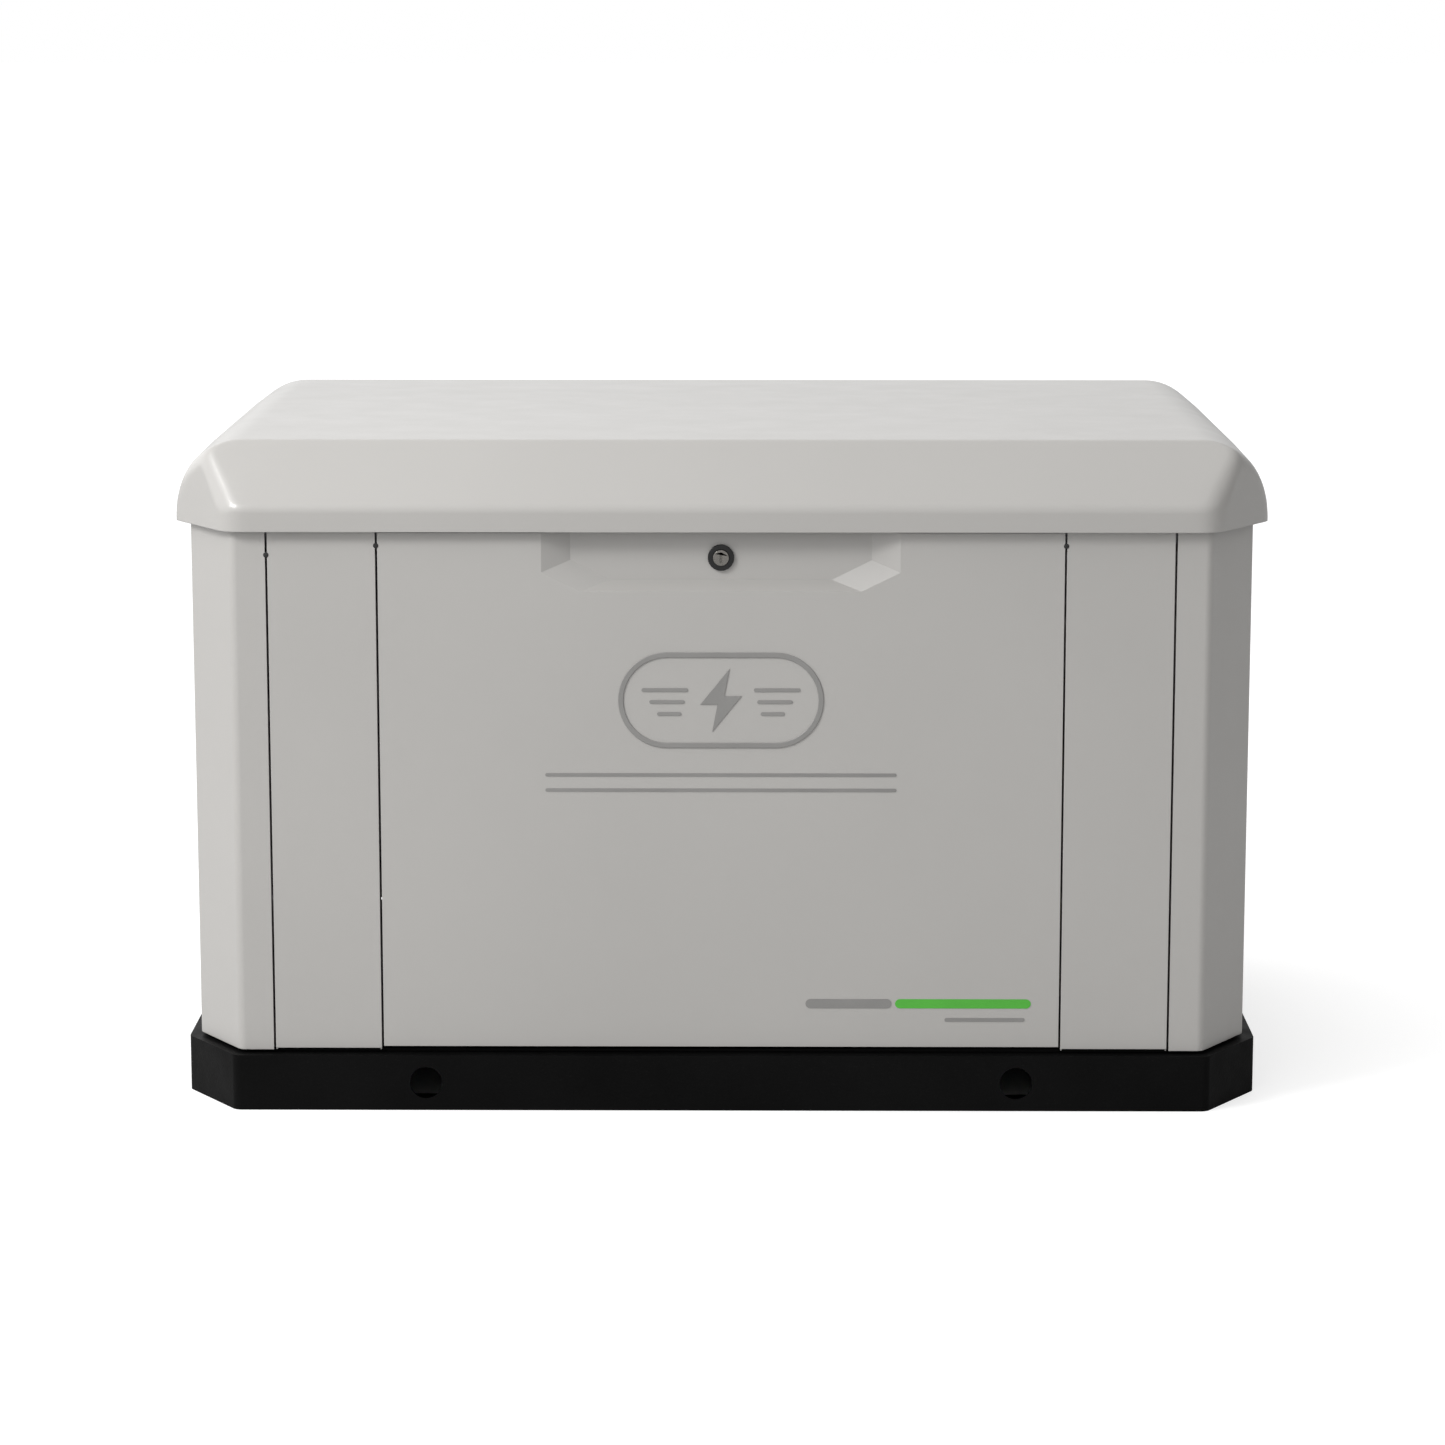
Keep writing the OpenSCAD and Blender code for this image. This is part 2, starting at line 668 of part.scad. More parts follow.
module flywheel_fan() color(castings) difference() {
    union() {
        rod_along_x(168, 200, 0, crank_z, 30);
        rod_along_x(170, 184, 0, crank_z, 128);
        rod_along_x(172, 181, 0, crank_z, 148);
        for (i = [0:15]) translate([183, 0, crank_z]) rotate([22.5 * i, 0, 0])
            translate([0, -1.5, 62]) cube([40, 3, 62]);
    }
    rod_along_x(160, 230, 0, crank_z, shaft_r + run_gap);
}

module blower_housing() color(coat) difference() {
    rod_along_x(160, 238, 0, crank_z, 158);
    rod_along_x(162, 236, 0, crank_z, 155.5);
    rod_along_x(150, 170, 0, crank_z, 45);
    rod_along_x(230, 250, 0, crank_z, 92);
}

module intake_mixer() color(castings) difference() {
    union() {
        translate([mixer_x, 0, 440]) cylinder(h = 105, r = 34);
        rod_along_y(-120, 120, mixer_x, 461, 16);
        rod_along_x(20, mixer_x, 0, 500, 13);
    }
    for (i = [0, 1]) on_bank(i) head_core();
}

module air_box() color(plastic) translate([50, 0, 545]) {
    rounded_slab(230, 220, 60, 24);
    translate([0, 0, 60]) rounded_slab(238, 228, 6, 26);
    translate([0, 0, 66]) rounded_slab(222, 212, 24, 22);
}

module exhaust_pipes() color(iron) for (i = [0, 1]) {
    s = i == 0 ? -1 : 1;
    x = bank_x[i];
    difference() {
        union() {
            rod_along_y(min(s * 180, s * pipe_y), max(s * 180, s * pipe_y), x, port_z, pipe_r);
            translate([x, s * pipe_y, port_z]) sphere(r = pipe_r);
            rod_along_x(x, muffler_x, s * pipe_y, port_z, pipe_r);
            translate([muffler_x, s * pipe_y, port_z]) sphere(r = pipe_r);
            rod_along_y(min(s * muffler_y, s * pipe_y), max(s * muffler_y, s * pipe_y),
                muffler_x, port_z, pipe_r);
        }
        on_bank(i) head_core();
    }
}

module muffler() color(iron) {
    rod_along_y(-muffler_y, muffler_y, muffler_x, muffler_z, muffler_r);
    for (y = [-muffler_y, muffler_y - 5])
        rod_along_y(y, y + 5, muffler_x, muffler_z, muffler_r + 4);
    translate([muffler_x, tail_y, tail_z]) cylinder(h = 120, r = tail_r);
    translate([muffler_x, tail_y, tail_z]) sphere(r = tail_r);
    rod_along_x(muffler_x, 606, tail_y, tail_z, tail_r);
    for (y = [-140, 140]) block([muffler_x - 20, y - 3, floor_z], [muffler_x + 20, y + 3, 270]);
}

module oil_filter() color([0.15, 0.25, 0.5]) {
    rod_along_y(case_half, case_half + 8, 50, 225, 22);
    rod_along_y(case_half + 8, case_half + 90, 50, 225, 35);
}

module dipstick_tube() color(zinc) translate([dipstick_at.x, dipstick_at.y, 0]) difference() {
    union() {
        block([-10, 0, 185], [10, -case_half - dipstick_at.y, 205]);
        translate([0, 0, 185]) cylinder(h = 235, r = 9);
    }
    translate([0, 0, 195]) cylinder(h = 230, r = 6);
}

module dipstick() color([0.8, 0.65, 0.1]) translate([dipstick_at.x, dipstick_at.y, 0]) {
    translate([0, 0, 200]) cylinder(h = 222, r = 2.5);
    translate([0, 0, 420.3]) cylinder(h = 10, r = 11);
    translate([0, 0, 443]) rotate([90, 0, 0]) rotate_extrude() translate([12, 0]) circle(r = 3);
    translate([0, 0, 425]) cylinder(h = 8, r = 4);
}

module starter_motor() color(plastic) {
    y = starter_at.x;
    z = starter_at.y;
    rod_along_x(-30, 140, y, z, 34);
    rod_along_x(10, 110, y, z, 34.8);
    translate([0, y, z + 30]) cylinder(h = 16, r = 4);
    block([120, y - 20, z - 20], [150, -case_half, z + 30]);
}

module rotor() color([0.55, 0.3, 0.15]) {
    rod_along_x(-384, -75, 0, crank_z, shaft_r);
    rod_along_x(-335, -125, 0, crank_z, rotor_r - 2);
}

module stator() color(iron) difference() {
    rod_along_x(-330, -130, 0, crank_z, stator_r);
    rod_along_x(-331, -129, 0, crank_z, rotor_r);
}

module alternator_housing() color(castings) difference() {
    union() {
        rod_along_x(-372, case_x0, 0, crank_z, alternator_r);
        for (x = [-330, -130]) block([x, -125, 135], [x + 40, 125, 180]);
        for (a = [0:15:345]) translate([-345, 0, crank_z]) rotate([a, 0, 0])
            translate([0, -2, alternator_r - 5]) cube([230, 4, a > 120 && a < 240 ? 5 : 10]);
    }
    rod_along_x(-360, case_x0 - case_wall, 0, crank_z, stator_r);
    rod_along_x(-380, case_x0 + 1, 0, crank_z, shaft_r + run_gap);
    rod_along_x(-80, case_x0 + 1, 0, crank_z, 30);
    for (a = [0:45:315]) rotate_about_crank(a) rod_along_x(-380, -350, 0, crank_z + 76, 15);
}

module rotate_about_crank(a) translate([0, 0, crank_z]) rotate([a, 0, 0])
    translate([0, 0, -crank_z]) children();

/* ---- fuel and electrics ---- */

module gas_regulator() color(castings) {
    rod_along_y(285, 325, inlet_x, 250, 58);
    rod_along_y(270, 285, inlet_x, 250, 30);
    block([inlet_x - 32, 300, 165], [inlet_x + 32, 345, 250]);
    block([inlet_x - 25, 345, 225], [inlet_x + 25, body_y - sheet, 275]);
    translate([inlet_x, 300, 290]) cylinder(h = 20, r = 12);
}

module fuel_inlet() color(zinc) difference() {
    union() {
        rod_along_y(345, overall_d / 2 - 1, inlet_x, inlet_z, 13.3);
        rod_along_y(350, 366, inlet_x, inlet_z, 19);
    }
    rod_along_y(347, overall_d, inlet_x, inlet_z, 10.5);
}

module fuel_hose() color(rubber) hose(fuel_route, 11, 12);

module conduit_gland() color(plastic) difference() {
    union() {
        rod_along_y(body_y - 18, body_y + 10, gland_x, gland_z, 16.5);
        rod_along_y(body_y, body_y + 8, gland_x, gland_z, 25);
        rod_along_y(body_y - 10, body_y - sheet, gland_x, gland_z, 25);
    }
    rod_along_y(body_y - 30, body_y + 20, gland_x, gland_z, 12.5);
}

module control_box() color(plastic) difference() {
    union() {
        block([-598, -330, 400], [-440, -60, box_z]);
        for (y = [-210, -130]) block([-wall_in, y, 470], [-598, y + 30, 474]);
    }
    block([-595, -327, 380], [-443, -63, box_z - 4]);
    for (y = button_y) translate([-490, y, box_z - 10]) cylinder(h = 20, r = button_r + slide_gap);
}

module button(y) translate([-490, y, 0]) {
    translate([0, 0, box_z - 10]) cylinder(h = 16, r = button_r);
    translate([0, 0, box_z - 10]) cylinder(h = 5.5, r = button_r + 4);
}

module button_auto() color([0.1, 0.5, 0.15]) button(button_y[0]);

module button_off() color([0.7, 0.1, 0.1]) button(button_y[1]);

module button_manual() color([0.15, 0.25, 0.6]) button(button_y[2]);

module breaker_body() color(coat) difference() {
    block([toggle.x - 22, toggle.y - 40, box_z], [toggle.x + 22, toggle.y + 40, 640]);
    rod_along_x(toggle.x - 8, toggle.x + 8, toggle.y, toggle.z, 13);
    block([toggle.x - 8, toggle.y - 13, toggle.z], [toggle.x + 8, toggle.y + 13, 650]);
}

module breaker_toggle() color([0.9, 0.9, 0.9]) translate(toggle) rotate([-20, 0, 0]) {
    rod_along_x(-7.5, 7.5, 0, 0, 12);
    block([-7.5, -4, 0], [7.5, 4, 26]);
}

module battery() color(plastic) {
    block([-370, -345, floor_z], [-110, -175, 262]);
    block([-374, -349, 262], [-106, -171, 280]);
    for (x = terminal_x) translate([x, -260, 280]) cylinder(h = 16, r = 8);
}

module battery_cables() {
    color([0.7, 0.05, 0.05]) hose(red_route, 5, 8);
    color(rubber) hose(black_route, 5, 8);
}

base_frame();
floor_pan();
post_front_left();
post_front_right();
posts_rear();
front_strips();
side_panel_left();
side_panel_right();
rear_panel();
top_frame();
divider_wall();
front_panel();
panel_liner();
badge();
lock_housing();
lock_plug();
lock_cam();
roof_lid();
lid_liner();
lid_seal();
lid_catch();
hinge_fixed_leaves();
hinge_lid_leaves();
hinge_pins();
prop_rod();
prop_bracket();
prop_cradle();
engine_rails();
vibration_mounts();
crankcase();
main_bearings();
crankshaft();
cylinders();
cylinder_heads();
valve_covers();
flywheel_fan();
blower_housing();
intake_mixer();
air_box();
exhaust_pipes();
muffler();
oil_filter();
dipstick_tube();
dipstick();
starter_motor();
rotor();
stator();
alternator_housing();
gas_regulator();
fuel_inlet();
fuel_hose();
conduit_gland();
control_box();
button_auto();
button_off();
button_manual();
breaker_body();
breaker_toggle();
battery();
battery_cables();
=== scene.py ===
"""Home standby generator: finished surfaces, materials, light and camera around the CAD frame."""
import json
from math import cos, pi, radians, sin, tau

import bmesh
import bpy
import numpy as np
from mathutils import Matrix, Vector


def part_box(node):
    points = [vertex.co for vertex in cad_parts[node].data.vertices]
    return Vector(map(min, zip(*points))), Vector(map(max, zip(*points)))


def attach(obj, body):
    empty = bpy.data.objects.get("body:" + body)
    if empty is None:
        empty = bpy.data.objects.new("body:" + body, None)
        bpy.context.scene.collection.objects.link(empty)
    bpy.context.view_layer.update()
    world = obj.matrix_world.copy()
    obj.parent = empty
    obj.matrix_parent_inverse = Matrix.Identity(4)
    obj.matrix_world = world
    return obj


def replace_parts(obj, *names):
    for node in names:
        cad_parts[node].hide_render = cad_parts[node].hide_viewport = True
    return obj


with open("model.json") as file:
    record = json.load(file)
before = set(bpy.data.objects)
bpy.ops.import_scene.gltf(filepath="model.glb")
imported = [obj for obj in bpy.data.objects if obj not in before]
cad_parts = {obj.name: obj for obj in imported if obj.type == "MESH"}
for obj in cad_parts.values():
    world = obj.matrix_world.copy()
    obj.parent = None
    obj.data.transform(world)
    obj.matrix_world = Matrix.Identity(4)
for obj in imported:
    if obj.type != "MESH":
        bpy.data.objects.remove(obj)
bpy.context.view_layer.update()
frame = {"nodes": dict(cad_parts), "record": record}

NODES = frame["nodes"]
BODY_OF = {node: body for body, members in frame["record"]["behaviour"]["bodies"].items()
           for node in members}
SLOT_OF = {part["node"]: part["material_slot"] for part in frame["record"]["subparts"]}
MM = 0.001


# ---------------------------------------------------------------- materials

def linear(r, g, b):
    """An sRGB colour given as 0 to 255, as Blender's linear values."""
    return tuple((c / 255 / 12.92) if c <= 10 else ((c / 255 + 0.055) / 1.055) ** 2.4
                 for c in (r, g, b)) + (1.0,)


def map_range(tree, value, low, high, start, end):
    """A value's range from start to end, carried over to low to high."""
    node = tree.nodes.new("ShaderNodeMapRange")
    for name, number in (("From Min", start), ("From Max", end), ("To Min", low), ("To Max", high)):
        node.inputs[name].default_value = number
    tree.links.new(value, node.inputs["Value"])
    return node.outputs["Result"]


class Nodes:
    """Short names for the few shader nodes that the materials are made of."""

    def __init__(self, name):
        self.material = bpy.data.materials.new(name)
        self.material.use_nodes = True
        self.tree = self.material.node_tree
        self.shader = self.tree.nodes["Principled BSDF"]
        self.place = self.tree.nodes.new("ShaderNodeTexCoord").outputs["Object"]

    def link(self, source, target):
        self.tree.links.new(source, target)

    def noise(self, scale, detail=3.0, roughness=0.55, place=None):
        node = self.tree.nodes.new("ShaderNodeTexNoise")
        node.inputs["Scale"].default_value = scale
        node.inputs["Detail"].default_value = detail
        node.inputs["Roughness"].default_value = roughness
        self.link(place or self.place, node.inputs["Vector"])
        return node.outputs["Fac"]

    def cells(self, scale, feature="F1"):
        node = self.tree.nodes.new("ShaderNodeTexVoronoi")
        node.feature = feature
        node.inputs["Scale"].default_value = scale
        self.link(self.place, node.inputs["Vector"])
        return node.outputs["Distance"]

    def stretched(self, x, y, z):
        node = self.tree.nodes.new("ShaderNodeMapping")
        node.inputs["Scale"].default_value = (x, y, z)
        self.link(self.place, node.inputs["Vector"])
        return node.outputs["Vector"]

    def ranged(self, value, low, high, start=0.3, end=0.7):
        return map_range(self.tree, value, low, high, start, end)

    def two_colours(self, factor, first, second):
        node = self.tree.nodes.new("ShaderNodeMix")
        node.data_type = "RGBA"
        for index, colour in ((6, first), (7, second)):
            if isinstance(colour, bpy.types.NodeSocket):
                self.link(colour, node.inputs[index])
            else:
                node.inputs[index].default_value = colour
        self.link(factor, node.inputs[0])
        return node.outputs[2]

    def bumped(self, height, strength, distance, under=None):
        node = self.tree.nodes.new("ShaderNodeBump")
        node.inputs["Strength"].default_value = strength
        node.inputs["Distance"].default_value = distance
        self.link(height, node.inputs["Height"])
        if under:
            self.link(under, node.inputs["Normal"])
        return node.outputs["Normal"]

    def finish(self, colour, roughness, normal, metallic=0.0, **sockets):
        self.link(colour, self.shader.inputs["Base Color"])
        self.link(roughness, self.shader.inputs["Roughness"])
        self.link(normal, self.shader.inputs["Normal"])
        self.shader.inputs["Metallic"].default_value = metallic
        for name, value in sockets.items():
            self.shader.inputs[name.replace("_", " ")].default_value = value
        return self.material


def darker(colour, share):
    """A colour scaled by a share, darker below 1 and lighter above it."""
    return tuple(c * share for c in colour[:3]) + (1.0,)


def painted(name, colour, rough=0.33):
    """Baked powder paint: a slight orange peel, over it a very fine grain."""
    n = Nodes(name)
    tint = n.two_colours(n.ranged(n.noise(2.2, 4), 0, 1), darker(colour, 0.975), darker(colour, 1.02))
    gloss = n.ranged(n.noise(14, 5), rough - 0.03, rough + 0.04)
    peel = n.bumped(n.noise(260, 2), 0.10, 0.0004)
    grain = n.bumped(n.noise(1500, 2), 0.10, 0.0002, peel)
    return n.finish(tint, gloss, grain, Specular_IOR_Level=0.5, Coat_Weight=0.3, Coat_Roughness=0.12)


def textured_coat(name, colour, rough=0.5, gloss_level=0.05):
    """Black textured powder coat, with faint dust that dulls it in patches."""
    n = Nodes(name)
    tint = n.two_colours(n.ranged(n.noise(6, 5), 0, 1), colour, darker(colour, 1.7))
    gloss = n.ranged(n.noise(22, 5), rough - 0.08, rough + 0.08)
    texture = n.bumped(n.cells(420, "SMOOTH_F1"), 0.22, 0.0006)
    return n.finish(tint, gloss, texture, Specular_IOR_Level=gloss_level)


def cast_metal(name, colour, rough=0.55):
    """Sand-cast or die-cast metal: a pitted skin and cloudy colour."""
    n = Nodes(name)
    tint = n.two_colours(n.ranged(n.noise(30, 6), 0, 1), darker(colour, 0.72), darker(colour, 1.1))
    gloss = n.ranged(n.noise(60, 4), rough - 0.1, rough + 0.12)
    pits = n.bumped(n.noise(700, 3), 0.35, 0.0008)
    return n.finish(tint, gloss, pits, metallic=0.85)


def plated(name, colour, rough=0.32, drawn=(3, 3, 60)):
    """Plated or drawn steel: cloudy plating over fine lines, stretched as drawn says."""
    n = Nodes(name)
    lines = n.noise(40, 4, place=n.stretched(*drawn))
    tint = n.two_colours(n.ranged(n.noise(18, 4), 0, 1), darker(colour, 0.85), darker(colour, 1.05))
    gloss = n.ranged(lines, rough - 0.08, rough + 0.12)
    return n.finish(tint, gloss, n.bumped(lines, 0.04, 0.0002), metallic=1.0)


def heat_stained(name, colour):
    """Steel that exhaust heat has tinted straw and blue in bands."""
    n = Nodes(name)
    bands = n.noise(9, 3)
    warm = n.two_colours(n.ranged(bands, 0, 1, 0.35, 0.6), colour, (0.38, 0.25, 0.12, 1))
    tint = n.two_colours(n.ranged(n.noise(16, 5), 0, 0.7, 0.5, 0.75), warm, (0.13, 0.12, 0.16, 1))
    gloss = n.ranged(n.noise(80, 5), 0.35, 0.62)
    return n.finish(tint, gloss, n.bumped(n.noise(500, 4), 0.25, 0.0006), metallic=0.9)


def rubbery(name, colour, rough=0.75):
    """Matt rubber with a fine grain and faint bloom."""
    n = Nodes(name)
    tint = n.two_colours(n.ranged(n.noise(40, 4), 0, 1), colour, darker(colour, 1.6))
    gloss = n.ranged(n.noise(90, 3), rough - 0.1, rough + 0.1)
    return n.finish(tint, gloss, n.bumped(n.noise(1200, 2), 0.2, 0.0003))


def moulded(name, colour, rough=0.45, grain=900, depth=0.25):
    """Moulded plastic with a spark-eroded grain."""
    n = Nodes(name)
    tint = n.two_colours(n.ranged(n.noise(12, 3), 0, 1), darker(colour, 0.93), darker(colour, 1.06))
    gloss = n.ranged(n.noise(50, 3), rough - 0.05, rough + 0.07)
    return n.finish(tint, gloss, n.bumped(n.cells(grain, "SMOOTH_F1"), depth, 0.0003))


def open_cell_foam(name, colour):
    """Acoustic foam: open cells whose pits are painted darker as shade, over a matte, slightly mottled skin.
    """
    n = Nodes(name)
    cells = n.cells(330)
    # painted shade: the cells' pits are darkened, following the same cells that dent the skin below
    tint = n.two_colours(n.ranged(cells, 0, 1, 0.1, 0.6), darker(colour, 0.35), darker(colour, 1.3))
    gloss = n.ranged(n.noise(30, 3), 0.88, 0.98)
    return n.finish(tint, gloss, n.bumped(cells, 0.8, 0.002))


def wound_copper(name, colour):
    """Varnished windings: fine turns along the rotor, painted darker in their grooves as shade and lighter on
    their crests as highlight, and patchy varnish.
    """
    n = Nodes(name)
    turns = n.noise(60, 2, place=n.stretched(0.15, 9, 9))
    # painted shade and highlight: grooves between the turns darkened and their crests lightened, following the
    # pattern that bumps them
    tint = n.two_colours(n.ranged(turns, 0, 1), darker(colour, 0.45), darker(colour, 1.2))
    gloss = n.ranged(n.noise(40, 4), 0.25, 0.5)
    return n.finish(tint, gloss, n.bumped(turns, 0.5, 0.001), metallic=0.6)


PAINT = linear(166, 164, 161)
MATERIALS = {
    "painted_sheet": painted("painted_sheet", PAINT),
    "black_coat": textured_coat("black_coat", linear(8, 8, 8)),
    "zinc_plate": plated("zinc_plate", linear(188, 190, 192)),
    "cast_aluminium": cast_metal("cast_aluminium", linear(176, 178, 180)),
    "bare_iron": cast_metal("bare_iron", linear(82, 80, 78), 0.6),
    "exhaust_steel": heat_stained("exhaust_steel", linear(150, 142, 132)),
    "foam": open_cell_foam("foam", linear(46, 46, 48)),
    "rubber": rubbery("rubber", linear(24, 24, 24)),
    "black_plastic": moulded("black_plastic", linear(30, 30, 31)),
    "lock_black": moulded("lock_black", linear(14, 14, 14), 0.25, 1800, 0.08),
    "lock_metal": plated("lock_metal", linear(140, 137, 132), 0.25, (30, 30, 30)),
    "badge_grey": moulded("badge_grey", linear(128, 127, 125), 0.4, 1500, 0.12),
    "filter_paint": painted("filter_paint", linear(28, 52, 120), 0.3),
    "yellow_plastic": moulded("yellow_plastic", linear(226, 180, 30), 0.32),
    "winding_copper": wound_copper("winding_copper", linear(176, 104, 54)),
    "button_green": moulded("button_green", linear(30, 130, 52), 0.3, 1500, 0.1),
    "button_red": moulded("button_red", linear(176, 24, 22), 0.3, 1500, 0.1),
    "button_blue": moulded("button_blue", linear(28, 66, 150), 0.3, 1500, 0.1),
    "white_plastic": moulded("white_plastic", linear(226, 224, 218), 0.4),
}
GREEN_INK = moulded("green_ink", linear(74, 168, 52), 0.4, 1800, 0.06)
RED_RUBBER = rubbery("red_rubber", linear(150, 20, 18), 0.6)
DISPLAY = moulded("display_window", linear(20, 34, 30), 0.12, 2500, 0.03)


# ---------------------------------------------------------------- pieces

def add_piece(name, bm, material, body):
    """Turns a bmesh into a shown piece that rides a body."""
    mesh = bpy.data.meshes.new(name)
    bm.to_mesh(mesh)
    bm.free()
    piece = bpy.data.objects.new(name, mesh)
    bpy.context.scene.collection.objects.link(piece)
    mesh.materials.clear()
    mesh.materials.append(material)
    for face in mesh.polygons:
        face.use_smooth = True
    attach(piece, body)
    return piece


def round_edges(piece, width, segments=3, angle=30):
    """Small true radii on edges sharper than the angle, with flat faces left flat."""
    bevel = piece.modifiers.new("rounded", "BEVEL")
    bevel.width = width
    bevel.segments = segments
    bevel.limit_method = "ANGLE"
    bevel.angle_limit = radians(angle)
    bevel.miter_outer = "MITER_ARC"
    weighted = piece.modifiers.new("flat faces", "WEIGHTED_NORMAL")
    weighted.keep_sharp = True
    weighted.weight = 100


def cleaned(node):
    """A bmesh of a CAD node with its flat faces made whole again."""
    bm = bmesh.new()
    bm.from_mesh(NODES[node].data)
    bmesh.ops.remove_doubles(bm, verts=bm.verts, dist=2e-6)
    bmesh.ops.dissolve_limit(bm, angle_limit=radians(0.4), verts=bm.verts, edges=bm.edges)
    return bm


def finished(node, width, angle=30):
    """The node's own shape with rounded edges, shown in the node's place."""
    slot = SLOT_OF[node]
    piece = add_piece(node + "_finished", cleaned(node), MATERIALS[slot], BODY_OF[node])
    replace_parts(piece, node)
    round_edges(piece, width, angle=angle)


def join_rings(bm, rings, loop=False):
    """Skins a row of closed rings of points, ended with flat caps or closed on itself."""
    verts = [[bm.verts.new(p) for p in ring] for ring in rings]
    count = len(rings[0])
    for a, b in zip(verts, verts[1:] + verts[:1] if loop else verts[1:]):
        for j in range(count):
            k = (j + 1) % count
            bm.faces.new((a[j], a[k], b[k], b[j]))
    if not loop:
        bm.faces.new(verts[0])
        bm.faces.new(verts[-1])


def shown(name, bm, material, body, crease=35):
    """Adds a closed piece, with its edges sharper than the crease angle kept crisp."""
    bmesh.ops.recalc_face_normals(bm, faces=bm.faces)
    piece = add_piece(name, bm, material, body)
    piece.data.set_sharp_from_angle(angle=radians(crease))
    return piece


def along(direction):
    """The turn that carries Z onto a direction."""
    return Vector(direction).to_track_quat("Z", "Y").to_matrix().to_4x4()


def add_lathe(bm, at, direction, profile, sides=32):
    """A turned shape: profile gives radius and height pairs in mm, from the foot up."""
    place = Matrix.Translation(at) @ along(direction)
    join_rings(bm, [[place @ (Vector((r * cos(tau * k / sides), r * sin(tau * k / sides), h)) * MM)
                     for k in range(sides)] for r, h in profile])


SUNK = 0.3                              # fittings start this far inside what they sit on, in mm
WASHER_TOP = 1.4


def add_screw(bm, at, direction, across=10, washer=True):
    """A hexagon-head screw, by its width across flats in mm, on its washer."""
    if washer:
        r = across * 0.85
        add_lathe(bm, at, direction,
                  [(r, -SUNK), (r, WASHER_TOP - 0.4), (r - 0.4, WASHER_TOP), (across * 0.3, WASHER_TOP)], 24)
    r = across / 3 ** 0.5
    low = WASHER_TOP if washer else -SUNK
    add_lathe(bm, at, direction, [(r, low), (r, low + across * 0.5), (r * 0.84, low + across * 0.62)], 6)


def add_pan_screw(bm, at, direction, r=4.0):
    """A low domed screw head with a round drive recess."""
    add_lathe(bm, at, direction, [(r, -SUNK), (r, 0.5), (r * 0.86, 1.5), (r * 0.6, 2.1), (r * 0.42, 2.3),
                                  (r * 0.36, 1.2)], 20)


def smooth_path(points, steps):
    """Catmull-Rom points through a route, as the CAD tubes follow it."""
    p = [np.array(q, float) for q in points]
    out = []
    for i in range(len(p) - 1):
        a, b, c, d = p[max(i - 1, 0)], p[i], p[i + 1], p[min(i + 2, len(p) - 1)]
        for u in np.arange(steps) / steps:
            out.append(0.5 * (2 * b + (c - a) * u + (2 * a - 5 * b + 4 * c - d) * u ** 2
                              + (3 * b - a - 3 * c + d) * u ** 3))
    return out + [p[-1]]


def add_tube(bm, points, radius, sides=20, steps=12):
    """A round tube along a smooth route, both given in mm."""
    path = [Vector(q) for q in smooth_path(points, steps)]
    rings, side = [], None
    for i, at in enumerate(path):
        way = (path[min(i + 1, len(path) - 1)] - path[max(i - 1, 0)]).normalized()
        side = way.orthogonal() if side is None else side - way * side.dot(way)
        side.normalize()
        other = way.cross(side)
        rings.append([(at + radius * (cos(tau * k / sides) * side + sin(tau * k / sides) * other)) * MM
                      for k in range(sides)])
    join_rings(bm, rings)


def add_grid_slab(bm, one, other, keep):
    """A closed slab between two grids of points, left open where keep is false."""
    rows, cols = keep.shape
    sheets = [[[bm.verts.new(p) for p in row] for row in grid] for grid in (one, other)]
    kept = np.pad(keep, 1)
    for j in range(rows):
        for i in range(cols):
            if not keep[j, i]:
                continue
            corners = [(j, i), (j, i + 1), (j + 1, i + 1), (j + 1, i)]
            for sheet in sheets:
                bm.faces.new([sheet[a][b] for a, b in corners])
            beside = [kept[j, i + 1], kept[j + 1, i + 2], kept[j + 2, i + 1], kept[j + 1, i]]
            for k, inside in enumerate(beside):
                if not inside:
                    (a, b), (c, d) = corners[k], corners[(k + 1) % 4]
                    bm.faces.new((sheets[0][a][b], sheets[0][c][d], sheets[1][c][d], sheets[1][a][b]))
    bmesh.ops.delete(bm, geom=[v for v in bm.verts if not v.link_faces], context="VERTS")


def keep_with_material(node):
    """Shows the CAD node as it is, in its own material."""
    mesh = NODES[node].data
    mesh.materials.clear()
    mesh.materials.append(MATERIALS[SLOT_OF[node]])


# ---------------------------------------------------------------- roof

def soft_max(a, b, width):
    """The larger of two distances, with the corner between them rounded over a width."""
    near = np.maximum(width - np.abs(a - b), 0) / width
    return np.maximum(a, b) + near * near * width / 4


